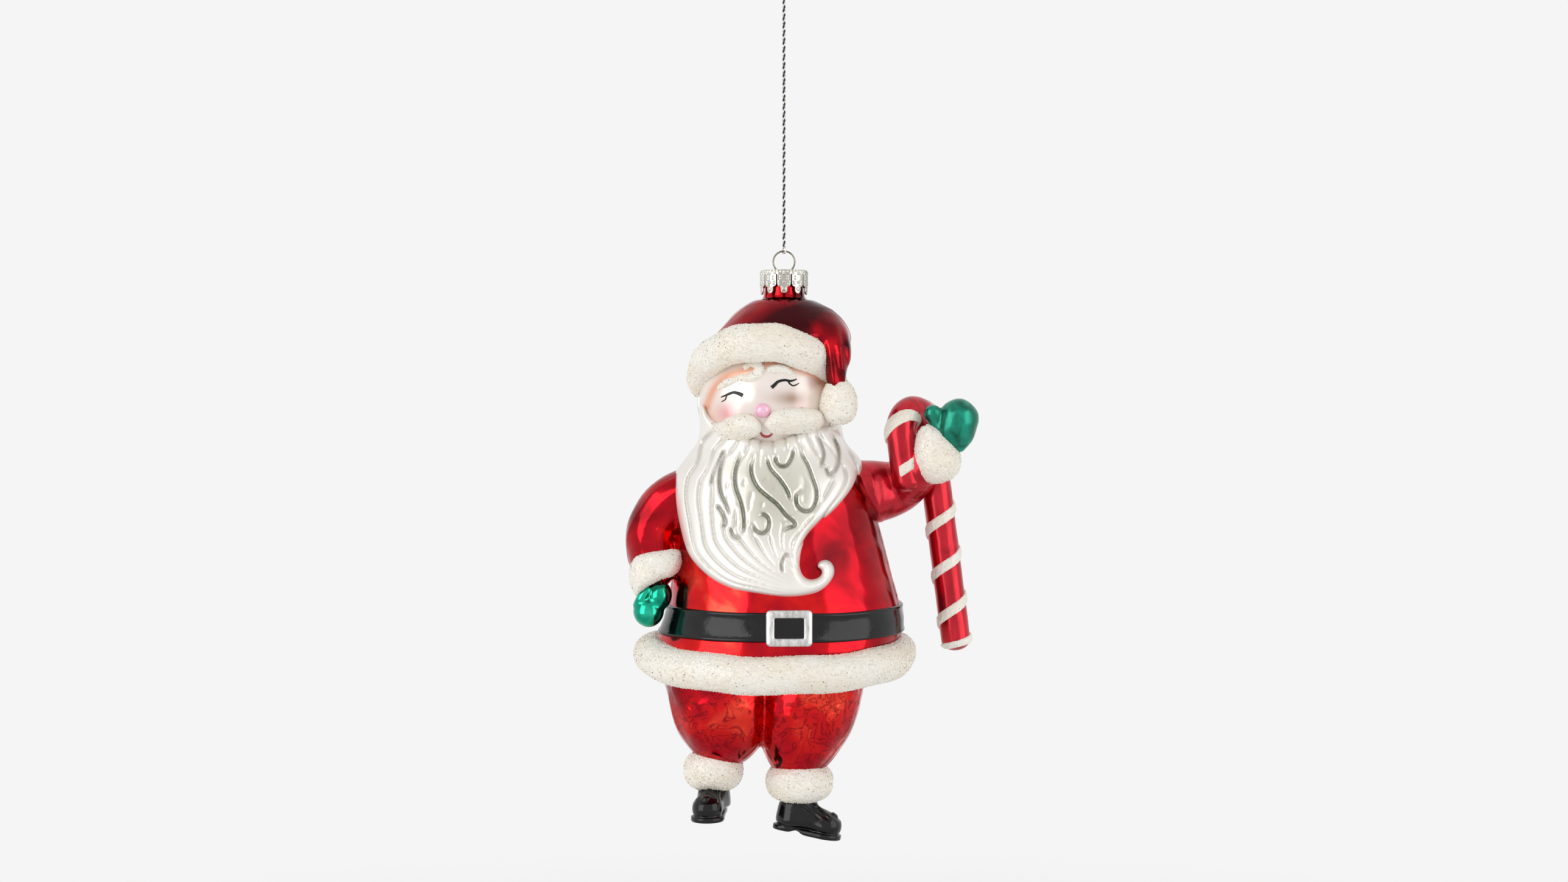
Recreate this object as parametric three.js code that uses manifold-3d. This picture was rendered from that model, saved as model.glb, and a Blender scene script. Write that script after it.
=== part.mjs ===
// A blown-glass santa that hangs from a wire ring and a twisted metallic cord.
// Millimetres, +Z up. The figure faces -Y, and the origin is the top of the hanging loop.
// Heights are measured up from the sole of the lower boot until the last lines hang the figure up.
import * as THREE from "three";
import { mergeVertices } from "three/addons/utils/BufferGeometryUtils.js";
import Module from "manifold-3d";

const wasm = await Module();
wasm.setup();

// Glass and gaps
const glassWall = 1.0;
const seatGap = 0.3; // between a raised detail and the glass that carries it
const cutterReach = 60; // how far a cutter runs, well past the figure
const formSides = 20; // facets round a body form
const cavitySides = 10; // facets round the hollow inside

// Legs, cuffs and boots
const crotchX = -5.0;
const hipRadius = 14.0;
const thighRadius = 12.9;
const crotchSink = 2.2; // how far each leg runs into the other at the crotch
const shinRadius = 8.5;
const ankleRadius = 5.4;
const thighDrop = 8.0; // from the hip down to the widest part of the thigh
const shinAboveCuff = 8.6;
const leftCuffRadius = 7.7;
const rightCuffRadius = 8.7;
const trouserCuffHalfHeight = 5.6;
const leftCuffX = -18.2;
const rightCuffX = 4.0;
const rightCuffRise = 14.8; // cuff centre over the lower sole
const leftCuffRise = 17.8;
const bootLength = 17.4;
const bootToeRadius = 4.2;
const bootToeSpring = 0.4; // share of the toe's radius where the sole leaves the ground
const bootHeelRadius = 3.5;
const bootHeelReach = 5.6; // back of the heel behind the shaft
const bootShaftRadius = 3.7;
const bootShaftStretch = 1.28; // how much longer the shaft is than wide
const rightBootPitch = 9.3; // degrees, toe down
const rightBootTurn = 12; // degrees, from the right towards the front
const leftBootPitch = 4;
const leftBootTurn = 100; // degrees, from the right towards the front
const leftSoleRise = 5.4;

// Coat
const hemAboveCuff = 33.4; // from the lower cuff's centre to the hem roll's
const beltAboveHem = 9.3;
const chestAboveBelt = 22.5;
const shoulderAboveChest = 17.0;
const headAboveShoulder = 16.0;
const hemHalfWidth = 31.6;
const hemHalfDepth = 26.0;
const hemX = -2.4; // sideways shift of the hem
const beltLineHalfWidth = 30.4;
const beltLineHalfDepth = 25.2;
const chestHalfWidth = 26.4;
const chestHalfDepth = 21.8;
const shoulderHalfWidth = 20.6;
const shoulderHalfDepth = 16.2;
const collarHalfWidth = 12.0;
const collarHalfDepth = 11.0;
const coatLean = -3.0; // sideways shift of the shoulders from the hanging line
const hemRollRadius = 4.9;
const hemRollHalfHeight = 4.8;
const hemSag = 3.9; // how far the roll hangs lower in front
const rollSwell = 0.04; // how unevenly the glittered rolls are filled, as a share of their size
const rollTufts = 9; // fuller places round each roll
const beltWidth = 7.4;
const beltThickness = 0.8;
const beltSag = 1.4;
const buckleWidth = 11.6;
const buckleHeight = 9.0;
const buckleBar = 2.2; // width of the frame's bars
const buckleThickness = 1.0;
const buckleCorner = 1.2;
const buckleX = 1.3;

// Head, beard and hat
const headX = -3.8;
const headHalfWidth = 17.2;
const headHalfDepth = 15.8;
const headHalfHeight = 18.0;
const faceThickness = 0.8;
const faceHalfWidth = 16.2;
const faceHalfHeight = 13.0;
const faceAboveHead = 2.5;
const noseRadius = 2.1;
const noseFromHead = -1.7; // sideways from the head's centre
const noseBelowHead = 2.3;
const beardThickness = 2.7;
const beardWidth = 48.6;
const beardLength = 48.0;
const beardBelowHead = 25.0; // the beard's middle under the head's centre
const moustacheThickness = 3.6;
const hairThickness = 1.3;
const hairBelowHead = 11.0;
const browThickness = 1.0;
const browWidth = 1.8;
const brimX = -0.6; // sideways from the head's centre
const brimHalfWidth = 16.8;
const brimHalfDepth = 16.4;
const brimRadius = 3.9;
const brimHalfHeight = 4.9;
const brimAboveHead = 5.3; // brim roll's middle height
const brimFrontRise = 9.4; // how much higher the brim sits over the forehead
const brimBackDrop = 3.0;
const brimTilt = 1.0; // how much higher the brim's left end and lower its right end sit
const hatAboveHead = 15.7; // widest part of the hat over the head's centre
const hatHalfWidth = 18.2;
const hatDepthShare = 0.86;
const neckAboveHat = 10.9;
const tailRootRadius = 6.6;
const tailTipRadius = 2.0;
const tailX = 16.6; // hanging tip, sideways from the head's centre
const tailY = -13.0;
const tailDrop = 10.4; // from the widest part of the hat to the tip
const pomHalfWidth = 4.7;
const pomHalfHeight = 6.2;

// Arms
const sleeveRadius = 7.6;
const elbowRadius = 6.4;
const wristRadius = 4.6;
const elbowOut = 4.0; // the bent elbow's centre past the belt line's half width
const elbowBelowChest = 1.5;
const wristBelowChest = 10.5;
const hipHandForward = 11.0;
const cuffFur = 2.6; // how far the fur stands over the wrist
const cuffHalfLength = 5.0;
const raisedCuffFur = 1.3;
const raisedCuffFlare = 2.9; // how much longer the raised cuff is at each end
const mittenRadius = 4.4;
const mittenLength = 13.4;
const thumbRadius = 2.3;
const raisedShoulderRadius = 8.3;
const raisedElbowRadius = 7.0;
const raisedReach = 16.5; // from the coat's side to the raised wrist
const raisedWristRise = 9.5; // raised wrist over its shoulder
const raisedBelowShoulder = 7.2; // arm's root under the shoulder line

// Candy cane
const caneRadius = 3.84;
const caneHookRadius = 6.2;
const caneShaftLength = 54.6;
const caneTipLength = 11.8; // the short leg under the hook
const caneLean = 7.2; // degrees, foot outwards
const caneTurn = 50; // degrees that the hook is turned to the front
const caneBehindHand = 10.4; // shaft's axis behind the raised wrist's
const caneFootAboveHem = 2.6;
const caneFootX = 44.9;
const stripeWidth = 2.3;
const stripeThickness = 0.4;
const stripeEnd = 1.2; // bare glass before each domed end
const stripeStart = 2.08; // radians round the cane where the stripe starts at the foot
const stripeSeat = 0.52; // from the cane to the stripe, which is faceted more coarsely
const stripeLead = 11.8; // length of one full turn of the stripe

// Cap, wire and cord
const neckRadius = 5.16;
const neckLength = 6.6;
const capWall = 0.35;
const capRadius = 6.15;
const capSkirt = 4.45; // top to the shoulders of the petals
const petalTab = 1.7; // how far each petal's round tab reaches below that
const petalTabWidth = 1.75;
const petalCount = 10;
const petalSlot = 0.45; // width of the slots between petals
const petalRoot = 1.3; // uncut height under the cap's top
const wireRadius = 0.225;
const wireHoleRadius = 0.6;
const wireLegX = 1.83; // where each spring leg goes through the cap
const ringRadius = 2.78; // to the middle of the wire
const ringAboveCap = 2.3; // ring centre over the cap's top
const legStraight = 4.0; // plain part of each spring leg under the cap's top
const legReach = 12.0; // spring legs below the cap's top
const cordRadius = 0.4;
const threadRadius = 0.2;
const cordLength = 66.0;
const knotRadius = 0.95;
const cordEndGap = 0.2; // clear length between the cord and the bight or knot it ends at
const loopHeight = 11.6;
const loopHalfWidth = 3.0;

// Heights that follow from the lengths above
const hemHeight = rightCuffRise + hemAboveCuff;
const beltHeight = hemHeight + beltAboveHem;
const chestHeight = beltHeight + chestAboveBelt;
const shoulderHeight = chestHeight + shoulderAboveChest;
const headHeight = shoulderHeight + headAboveShoulder;
const brimHeight = headHeight + brimAboveHead;
const hatHeight = headHeight + hatAboveHead;
const neckFoot = hatHeight + neckAboveHat;
const neckRim = neckFoot + neckLength;
const capTop = neckRim + seatGap + capWall;
const ringCentre = capTop + ringAboveCap;
const ringTop = ringCentre + ringRadius;
const bightRadius = wireRadius + threadRadius + seatGap / 2;
const cordFoot = ringTop + bightRadius + threadRadius + seatGap;
const knotHeight = cordFoot + cordEndGap + cordLength + seatGap + knotRadius;
const loopTop = knotHeight + knotRadius + seatGap + loopHeight;

const radians = THREE.MathUtils.degToRad;
const point = (x, y, z) => new THREE.Vector3(x, y, z);

// Turns a closed geometry into one with shared corners, faces out and no flat slivers.
function closedForm(geometry) {
  const bare = new THREE.BufferGeometry();
  bare.setAttribute("position", geometry.getAttribute("position").clone());
  if (geometry.index) bare.setIndex(geometry.index.clone());
  const merged = mergeVertices(bare, 1e-4);
  const corners = merged.index.array;
  const kept = [];
  for (let i = 0; i < corners.length; i += 3) {
    const [a, b, c] = [corners[i], corners[i + 1], corners[i + 2]];
    if (a !== b && b !== c && c !== a) kept.push(a, b, c);
  }
  merged.setIndex(kept);
  if (enclosedVolume(merged) < 0) {
    for (let i = 0; i < kept.length; i += 3) [kept[i + 1], kept[i + 2]] = [kept[i + 2], kept[i + 1]];
    merged.setIndex(kept);
  }
  return merged;
}

function enclosedVolume(geometry) {
  const position = geometry.getAttribute("position");
  const index = geometry.index.array;
  const [a, b, c] = [point(), point(), point()];
  let total = 0;
  for (let i = 0; i < index.length; i += 3) {
    a.fromBufferAttribute(position, index[i]);
    b.fromBufferAttribute(position, index[i + 1]);
    c.fromBufferAttribute(position, index[i + 2]);
    total += a.dot(b.cross(c)) / 6;
  }
  return total;
}

// A solid of a form, with its whole surface moved outwards by a distance.
function solid(form, outwards = 0) {
  const position = form.getAttribute("position").clone();
  if (outwards !== 0) {
    form.computeVertexNormals();
    const normals = form.getAttribute("normal");
    for (let i = 0; i < position.count; i++) {
      position.setXYZ(
        i,
        position.getX(i) + normals.getX(i) * outwards,
        position.getY(i) + normals.getY(i) * outwards,
        position.getZ(i) + normals.getZ(i) * outwards,
      );
    }
  }
  const mesh = new wasm.Mesh({
    numProp: 3,
    vertProperties: new Float32Array(position.array),
    triVerts: new Uint32Array(form.index.array),
  });
  return new wasm.Manifold(mesh);
}

const joined = (solids) => solids.reduce((sum, next) => sum.add(next));

// The largest connected body of a cut solid, as a geometry.
function mainBody(manifold) {
  const mesh = manifold.getMesh();
  const parent = Array.from({ length: mesh.numVert }, (_, i) => i);
  const root = (i) => {
    while (parent[i] !== i) {
      parent[i] = parent[parent[i]];
      i = parent[i];
    }
    return i;
  };
  for (let i = 0; i < mesh.mergeFromVert.length; i++) {
    parent[root(mesh.mergeFromVert[i])] = root(mesh.mergeToVert[i]);
  }
  const triangles = mesh.triVerts;
  for (let i = 0; i < triangles.length; i += 3) {
    parent[root(triangles[i])] = root(triangles[i + 1]);
    parent[root(triangles[i + 1])] = root(triangles[i + 2]);
  }
  const bodies = new Map();
  for (let i = 0; i < triangles.length; i += 3) {
    const body = root(triangles[i]);
    if (!bodies.has(body)) bodies.set(body, []);
    bodies.get(body).push(triangles[i], triangles[i + 1], triangles[i + 2]);
  }
  const geometries = [...bodies.values()].map((index) => {
    const geometry = new THREE.BufferGeometry();
    geometry.setAttribute("position", new THREE.BufferAttribute(new Float32Array(mesh.vertProperties), 3));
    geometry.setIndex(index);
    return geometry;
  });
  geometries.sort((a, b) => enclosedVolume(b) - enclosedVolume(a));
  return geometries[0].toNonIndexed();
}

// Sections joined into one skin. An open row of sections is closed by a fan at each end.
function loft(rings, endless = false) {
  const sides = rings[0].length;
  const corners = rings.flat();
  const triangles = [];
  const bands = endless ? rings.length : rings.length - 1;
  for (let i = 0; i < bands; i++) {
    const j = (i + 1) % rings.length;
    for (let k = 0; k < sides; k++) {
      const m = (k + 1) % sides;
      const [a, b, c, d] = [i * sides + k, i * sides + m, j * sides + m, j * sides + k];
      triangles.push(a, b, c, a, c, d);
    }
  }
  if (!endless) {
    for (const end of [0, rings.length - 1]) {
      const middle = point(0, 0, 0);
      rings[end].forEach((corner) => middle.addScaledVector(corner, 1 / sides));
      corners.push(middle);
      for (let k = 0; k < sides; k++) {
        const [a, b] = [end * sides + k, end * sides + ((k + 1) % sides)];
        triangles.push(...(end === 0 ? [b, a, corners.length - 1] : [a, b, corners.length - 1]));
      }
    }
  }
  const geometry = new THREE.BufferGeometry().setFromPoints(corners);
  geometry.setIndex(triangles);
  return closedForm(geometry);
}

// A form of level sections: each row is height, centre X, centre Y, half width, half depth.
function levelForm(levels, sides, steps) {
  const sizes = new THREE.CatmullRomCurve3(levels.map((row) => point(row[3], row[4], row[0])));
  const centres = new THREE.CatmullRomCurve3(levels.map((row) => point(row[1], row[2], row[0])));
  const rings = [];
  for (let i = 0; i <= steps; i++) {
    const size = sizes.getPoint(i / steps);
    const centre = centres.getPoint(i / steps);
    const ring = [];
    for (let k = 0; k < sides; k++) {
      const angle = (2 * Math.PI * k) / sides;
      ring.push(point(centre.x + size.x * Math.cos(angle), centre.y + size.y * Math.sin(angle), size.z));
    }
    rings.push(ring);
  }
  return loft(rings);
}

// A round limb with domed ends along stations of x, y, z, radius and depth share.
function limb(stations, sides, steps) {
  const path = new THREE.CatmullRomCurve3(stations.map((row) => point(row[0], row[1], row[2])));
  const sizes = new THREE.CatmullRomCurve3(stations.map((row) => point(row[3], row[4] ?? 1, 0)));
  const section = (t, along, share) => {
    const tangent = path.getTangent(t);
    const size = sizes.getPoint(t);
    const deep = point(0, 1, 0).addScaledVector(tangent, -tangent.y).normalize();
    const wide = tangent.clone().cross(deep);
    const centre = path.getPoint(t).addScaledVector(tangent, along * size.x);
    const ring = [];
    for (let k = 0; k < sides; k++) {
      const angle = (2 * Math.PI * k) / sides;
      const corner = centre.clone();
      corner.addScaledVector(wide, Math.cos(angle) * size.x * share);
      corner.addScaledVector(deep, Math.sin(angle) * size.x * size.y * share);
      ring.push(corner);
    }
    return ring;
  };
  const rings = [section(0, -0.94, 0.34), section(0, -0.64, 0.77)];
  for (let i = 0; i <= steps; i++) rings.push(section(i / steps, 0, 1));
  rings.push(section(1, 0.64, 0.77), section(1, 0.94, 0.34));
  return loft(rings);
}

// An egg with its round girth square to an axis.
function egg(centre, axis, girth, halfLength, sides = 14, rows = 7) {
  const geometry = new THREE.SphereGeometry(1, sides, rows);
  geometry.scale(girth, halfLength, girth);
  const up = new THREE.Quaternion().setFromUnitVectors(point(0, 1, 0), axis.clone().normalize());
  geometry.applyQuaternion(up);
  geometry.translate(centre.x, centre.y, centre.z);
  return closedForm(geometry);
}

// A padded roll round the figure: centre(angle) gives its path, the section is an ellipse.
function roll(centre, radius, halfHeight, sides, facets) {
  const swell = (angle, turn) => 1 + rollSwell * Math.sin(rollTufts * angle + 1.4 * Math.sin(turn));
  const rings = [];
  for (let i = 0; i < sides; i++) {
    const angle = (2 * Math.PI * i) / sides;
    const out = point(Math.cos(angle), Math.sin(angle), 0);
    const ring = [];
    for (let k = 0; k < facets; k++) {
      const turn = (2 * Math.PI * k) / facets;
      const size = swell(angle, turn);
      const corner = centre(angle).addScaledVector(out, radius * size * Math.cos(turn));
      corner.z += halfHeight * size * Math.sin(turn);
      ring.push(corner);
    }
    rings.push(ring);
  }
  return loft(rings, true);
}

// A cutter with a front outline, running forwards from the plane Y = 0.
function frontCutter(outline, outwards = 0, samples = 60) {
  const curve = new THREE.CatmullRomCurve3(outline.map(([x, z]) => point(x, z, 0)), true);
  const loop = curve.getPoints(samples).slice(0, -1);
  const turning = THREE.ShapeUtils.area(loop) > 0 ? 1 : -1;
  const moved = loop.map((corner, i) => {
    const before = loop[(i + loop.length - 1) % loop.length];
    const after = loop[(i + 1) % loop.length];
    const along = after.clone().sub(before).normalize();
    return new THREE.Vector2(
      corner.x + along.y * turning * outwards,
      corner.y - along.x * turning * outwards,
    );
  });
  const shape = new THREE.Shape(moved);
  const geometry = new THREE.ExtrudeGeometry(shape, { depth: cutterReach, bevelEnabled: false });
  geometry.rotateX(Math.PI / 2);
  return solid(closedForm(geometry));
}

function box(width, depth, height, x, y, z) {
  return closedForm(new THREE.BoxGeometry(width, depth, height).translate(x, y, z));
}

// The glass figure, as forms that overlap one another
function coatForm(sides) {
  const shoulderX = coatLean;
  return levelForm([
    [hemHeight - hemSag - 1.5, hemX, 0, hemHalfWidth - 9, hemHalfDepth - 9],
    [hemHeight - hemSag, hemX, 0, hemHalfWidth - 3, hemHalfDepth - 3],
    [hemHeight, hemX, 0, hemHalfWidth, hemHalfDepth],
    [beltHeight, 0, 0, beltLineHalfWidth, beltLineHalfDepth],
    [(beltHeight + chestHeight) / 2, shoulderX * 0.2, 0,
      (beltLineHalfWidth + chestHalfWidth) / 2, (beltLineHalfDepth + chestHalfDepth) / 2 + 0.5],
    [chestHeight, shoulderX * 0.5, 0, chestHalfWidth, chestHalfDepth],
    [(chestHeight + shoulderHeight) / 2 + 1, shoulderX * 0.8, 0,
      (chestHalfWidth + shoulderHalfWidth) / 2 + 1, (chestHalfDepth + shoulderHalfDepth) / 2 + 0.5],
    [shoulderHeight, shoulderX, 0, shoulderHalfWidth, shoulderHalfDepth],
    [shoulderHeight + headAboveShoulder * 0.4, shoulderX, 0, collarHalfWidth, collarHalfDepth],
    [shoulderHeight + headAboveShoulder * 0.6, shoulderX, 0, collarHalfWidth / 2, collarHalfDepth / 2],
  ], sides, sides > 16 ? 12 : 8);
}

function headForm(sides, rows = 9) {
  const geometry = new THREE.SphereGeometry(1, sides, rows);
  geometry.rotateX(Math.PI / 2);
  geometry.scale(headHalfWidth, headHalfDepth, headHalfHeight);
  geometry.translate(headX, 0, headHeight);
  return closedForm(geometry);
}

function crownForm(sides) {
  const lean = headX;
  const row = (height, x, half) => [height, x, 0, half, half * hatDepthShare];
  return levelForm([
    row(headHeight + 2, lean, headHalfWidth - 3),
    row(headHeight + hatAboveHead / 2, lean, headHalfWidth - 2.2),
    row(headHeight + hatAboveHead * 0.8, lean * 0.8, hatHalfWidth),
    row(hatHeight, lean * 0.25, hatHalfWidth),
    row(hatHeight + neckAboveHat * 0.28, 0, hatHalfWidth - 1.7),
    row(hatHeight + neckAboveHat * 0.6, 0, neckRadius + 7.2),
    row(hatHeight + neckAboveHat * 0.86, 0, neckRadius + 3.0),
    row(neckFoot, 0, neckRadius + 0.6),
    row(neckFoot + 1.4, 0, neckRadius - 0.1),
  ], sides, 10);
}

const tailTip = [headX + tailX, tailY, hatHeight - tailDrop];

function tailForm(sides) {
  const [tipX, tipY, tipZ] = tailTip;
  return limb([
    [tipX - 4.2, tipY + 10, hatHeight + 1.2, tailRootRadius],
    [tipX - 0.8, tipY + 4.2, hatHeight - 1.6, (tailRootRadius + tailTipRadius) / 2],
    [tipX + 0.4, tipY + 0.8, hatHeight - tailDrop / 2, tailTipRadius + 1.0],
    [tipX, tipY, tipZ, tailTipRadius],
  ], sides, 6);
}

function legForm(side, cuffX, cuffRise, sides) {
  const hipHeight = hemHeight - hemSag - 3;
  return limb([
    [crotchX + side * (hipRadius - crotchSink), 0, hipHeight, hipRadius],
    [crotchX + side * (thighRadius - crotchSink), 0, hipHeight - thighDrop, thighRadius],
    [(crotchX + side * shinRadius + cuffX) / 2, 0, cuffRise + shinAboveCuff, shinRadius],
    [cuffX, 0, cuffRise + ankleRadius, ankleRadius],
  ], sides, 5);
}

const hipElbow = point(-beltLineHalfWidth - elbowOut, 0, chestHeight - elbowBelowChest);
const hipWrist = point(hipElbow.x + 2, 2 - hipHandForward, chestHeight - wristBelowChest);

function sleeveForm(sides) {
  const shoulder = point(-shoulderHalfWidth + coatLean / 2, 1, shoulderHeight - sleeveRadius);
  const between = shoulder.clone().lerp(hipElbow, 0.5);
  return limb([
    [shoulder.x, shoulder.y, shoulder.z, sleeveRadius],
    [between.x - 1.5, 1, between.z + 2, (sleeveRadius + elbowRadius) / 2],
    [hipElbow.x, hipElbow.y, hipElbow.z, elbowRadius],
    [hipWrist.x, hipWrist.y, hipWrist.z, wristRadius],
  ], sides, 7);
}

function figure(outwards, sides) {
  const limbSides = Math.round(sides * 0.65);
  return joined([
    solid(coatForm(sides), outwards),
    solid(headForm(sides), outwards),
    solid(crownForm(sides), outwards),
    solid(tailForm(Math.round(sides * 0.45)), outwards),
    solid(legForm(-1, leftCuffX, leftCuffRise, limbSides), outwards),
    solid(legForm(1, rightCuffX, rightCuffRise, limbSides), outwards),
    solid(sleeveForm(limbSides), outwards),
  ]);
}

function neckTube(radius, foot, rim) {
  const geometry = new THREE.CylinderGeometry(radius, radius, rim - foot, formSides);
  geometry.rotateX(Math.PI / 2);
  geometry.translate(0, 0, (foot + rim) / 2);
  return solid(closedForm(geometry));
}

const seat = figure(seatGap, formSides); // what a raised detail must stay clear of

function figureGlass() {
  const outside = figure(0, formSides).add(neckTube(neckRadius, hatHeight, neckRim));
  const inside = figure(-glassWall, cavitySides);
  const bore = neckTube(neckRadius - glassWall, hatHeight, neckRim + glassWall);
  return outside.subtract(inside).subtract(bore);
}

// Rolls of fur and the pompom
function brimForm() {
  const centre = (angle) => {
    const front = -Math.sin(angle);
    const rise = front > 0 ? front * brimFrontRise : front * brimBackDrop;
    return point(
      headX + brimX + brimHalfWidth * Math.cos(angle),
      brimHalfDepth * Math.sin(angle),
      brimHeight + rise - brimTilt * Math.cos(angle),
    );
  };
  return roll(centre, brimRadius, brimHalfHeight, 36, 10);
}

function hemForm() {
  const centre = (angle) => point(
    hemX + hemHalfWidth * Math.cos(angle),
    hemHalfDepth * Math.sin(angle),
    hemHeight + hemSag * Math.min(0, Math.sin(angle)),
  );
  return roll(centre, hemRollRadius, hemRollHalfHeight, 45, 10);
}

const pomCentre = point(tailTip[0] + 1.6, tailTip[1] + 1.4, tailTip[2] - tailTipRadius - pomHalfHeight * 0.6);
const pomForm = () => egg(pomCentre, point(0, 0, 1), pomHalfWidth, pomHalfHeight, 14, 9);

function trouserCuffForm(x, rise, radius) {
  return egg(point(x, 0, rise), point(0, 0, 1), radius, trouserCuffHalfHeight, 14, 8);
}

// Boots, made with the toe along +X, the shaft on the Z axis and the sole at Z = 0
function bootForm(outwards) {
  const shaftHeight = 11;
  const toe = bootLength - bootHeelReach - bootToeRadius;
  const foot = limb([
    [bootHeelRadius - bootHeelReach, 0, bootHeelRadius - 0.4, bootHeelRadius],
    [toe / 2, 0, bootHeelRadius, (bootHeelRadius + bootToeRadius) / 2],
    [toe, 0, bootToeRadius - 1.0, bootToeRadius],
  ], 12, 4);
  const shaft = new THREE.CylinderGeometry(bootShaftRadius, bootShaftRadius, shaftHeight, 16);
  shaft.rotateX(Math.PI / 2);
  shaft.scale(bootShaftStretch, 1, 1);
  shaft.translate(0, 0, bootHeelRadius + shaftHeight / 2);
  const ground = solid(box(cutterReach, cutterReach, cutterReach, 0, 0, -cutterReach / 2 - outwards));
  return solid(foot, outwards).add(solid(closedForm(shaft), outwards)).subtract(ground);
}

function boot(cuffX, cuffRise, pitch, turn, soleRise, outwards = 0) {
  const toe = bootLength - bootHeelReach;
  const placed = new THREE.Matrix4().makeRotationZ(-radians(turn));
  placed.multiply(new THREE.Matrix4().makeRotationY(radians(pitch)));
  const toeDrop = Math.sin(radians(pitch)) * (toe - bootToeRadius * bootToeSpring);
  placed.setPosition(cuffX, 0, soleRise + toeDrop);
  const shaftTop = cuffRise - seatGap / 2 + outwards;
  const above = solid(box(cutterReach, cutterReach, cutterReach, cuffX, 0, shaftTop + cutterReach / 2));
  return bootForm(outwards).transform(placed.elements).subtract(above);
}

const rightBoot = (outwards) =>
  boot(rightCuffX - 1, rightCuffRise, rightBootPitch, rightBootTurn, 0, outwards);
const leftBoot = (outwards) =>
  boot(leftCuffX, leftCuffRise, leftBootPitch, leftBootTurn, leftSoleRise, outwards);

function trouserCuff(x, rise, radius, bootSolid) {
  return solid(trouserCuffForm(x, rise, radius)).subtract(seat).subtract(bootSolid(seatGap));
}

// Belt and buckle, wrapped on the coat
function belt() {
  const band = new THREE.BoxGeometry(2 * cutterReach, 2 * cutterReach, beltWidth);
  band.rotateX(Math.atan(beltSag / beltLineHalfDepth));
  band.translate(0, 0, beltHeight);
  const outer = solid(coatForm(formSides), seatGap + beltThickness);
  return outer.intersect(solid(closedForm(band))).subtract(seat);
}

function roundedRectangle(target, width, height, corner) {
  const [w, h, r] = [width / 2, height / 2, corner];
  target.moveTo(-w + r, -h);
  target.lineTo(w - r, -h);
  target.absarc(w - r, -h + r, r, -Math.PI / 2, 0);
  target.lineTo(w, h - r);
  target.absarc(w - r, h - r, r, 0, Math.PI / 2);
  target.lineTo(-w + r, h);
  target.absarc(-w + r, h - r, r, Math.PI / 2, Math.PI);
  target.lineTo(-w, -h + r);
  target.absarc(-w + r, -h + r, r, Math.PI, 1.5 * Math.PI);
  return target;
}

function beltBuckle() {
  const shape = roundedRectangle(new THREE.Shape(), buckleWidth, buckleHeight, buckleCorner);
  const [holeWidth, holeHeight] = [buckleWidth - 2 * buckleBar, buckleHeight - 2 * buckleBar * 0.85];
  shape.holes.push(roundedRectangle(new THREE.Path(), holeWidth, holeHeight, buckleCorner / 2));
  const options = { depth: cutterReach, bevelEnabled: false, curveSegments: 3 };
  const frame = new THREE.ExtrudeGeometry(shape, options);
  frame.rotateX(Math.PI / 2);
  frame.translate(buckleX, 0, beltHeight - beltSag);
  const beltTop = seatGap + beltThickness + seatGap;
  const outer = solid(coatForm(formSides), beltTop + buckleThickness);
  return outer.intersect(solid(closedForm(frame))).subtract(solid(coatForm(formSides), beltTop));
}

// Head details. Outlines are sideways and up from the named centre, in the piece's own millimetres.
const beardCentre = [headX + 0.3, headHeight - beardBelowHead];
const beardShape = [
  [-17.3, 24.0], [-18.7, 18.6], [-20.9, 13.9], [-23.1, 9.2], [-24.9, 2.7], [-24.4, -3.6], [-23.0, -9.9],
  [-20.8, -15.4], [-16.5, -20.1], [-10.2, -23.4], [-2.6, -24.8], [3.5, -25.3], [9.6, -24.7], [13.7, -23.0],
  [15.9, -20.1], [14.2, -16.3], [10.6, -16.6], [9.2, -14.2], [11.7, -11.3], [15.9, -7.0], [20.2, -2.8],
  [23.5, 1.5], [24.8, 5.5], [24.8, 9.0], [23.0, 13.3], [20.5, 18.0], [17.0, 21.5], [13.0, 20.0],
  [7.5, 16.5], [-0.5, 14.8], [-7.5, 16.5], [-13.5, 20.0], [-15.3, 23.5],
];
const leftMoustacheShape = [
  [-15.7, -5.4], [-12.9, -5.2], [-8.9, -4.1], [-5.0, -2.6], [-2.6, -3.6], [-2.0, -5.8],
  [-2.5, -8.0], [-4.2, -9.3], [-7.6, -10.2], [-11.8, -9.7], [-14.4, -8.3],
];
const rightMoustacheShape = [
  [-0.6, -3.6], [0.8, -1.7], [4.6, -1.5], [8.5, -1.5], [12.8, -1.0], [14.4, -2.8],
  [13.6, -5.6], [11.2, -7.8], [5.8, -8.6], [1.8, -8.0], [-0.4, -5.8],
];
const forelockShape = [[-7.8, 9.6], [-7.4, 6.6], [-5.6, 4.9], [-3.4, 6.2], [-2.6, 9.8], [-5.2, 11.2]];

const beardOutline = beardShape.map(([x, z]) => [
  beardCentre[0] + (x * beardWidth) / 50,
  beardCentre[1] + (z * beardLength) / 50,
]);
const beardCutter = (outwards) => frontCutter(beardOutline, outwards, 54);
const headCutter = (shape, outwards) =>
  frontCutter(shape.map(([x, z]) => [headX + x, headHeight + z]), outwards, 24);
const moustacheCutter = (outwards) =>
  headCutter(leftMoustacheShape, outwards).add(headCutter(rightMoustacheShape, outwards));

const noseCentre = point(
  headX + noseFromHead,
  -headHalfDepth - seatGap - faceThickness - noseRadius * 0.35,
  headHeight - noseBelowHead,
);
const noseSolid = (outwards) =>
  solid(egg(noseCentre, point(0, 0, 1), noseRadius, noseRadius, 14, 8), outwards);
const faceTop = seatGap + faceThickness + seatGap; // clear of the painted face

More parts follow.
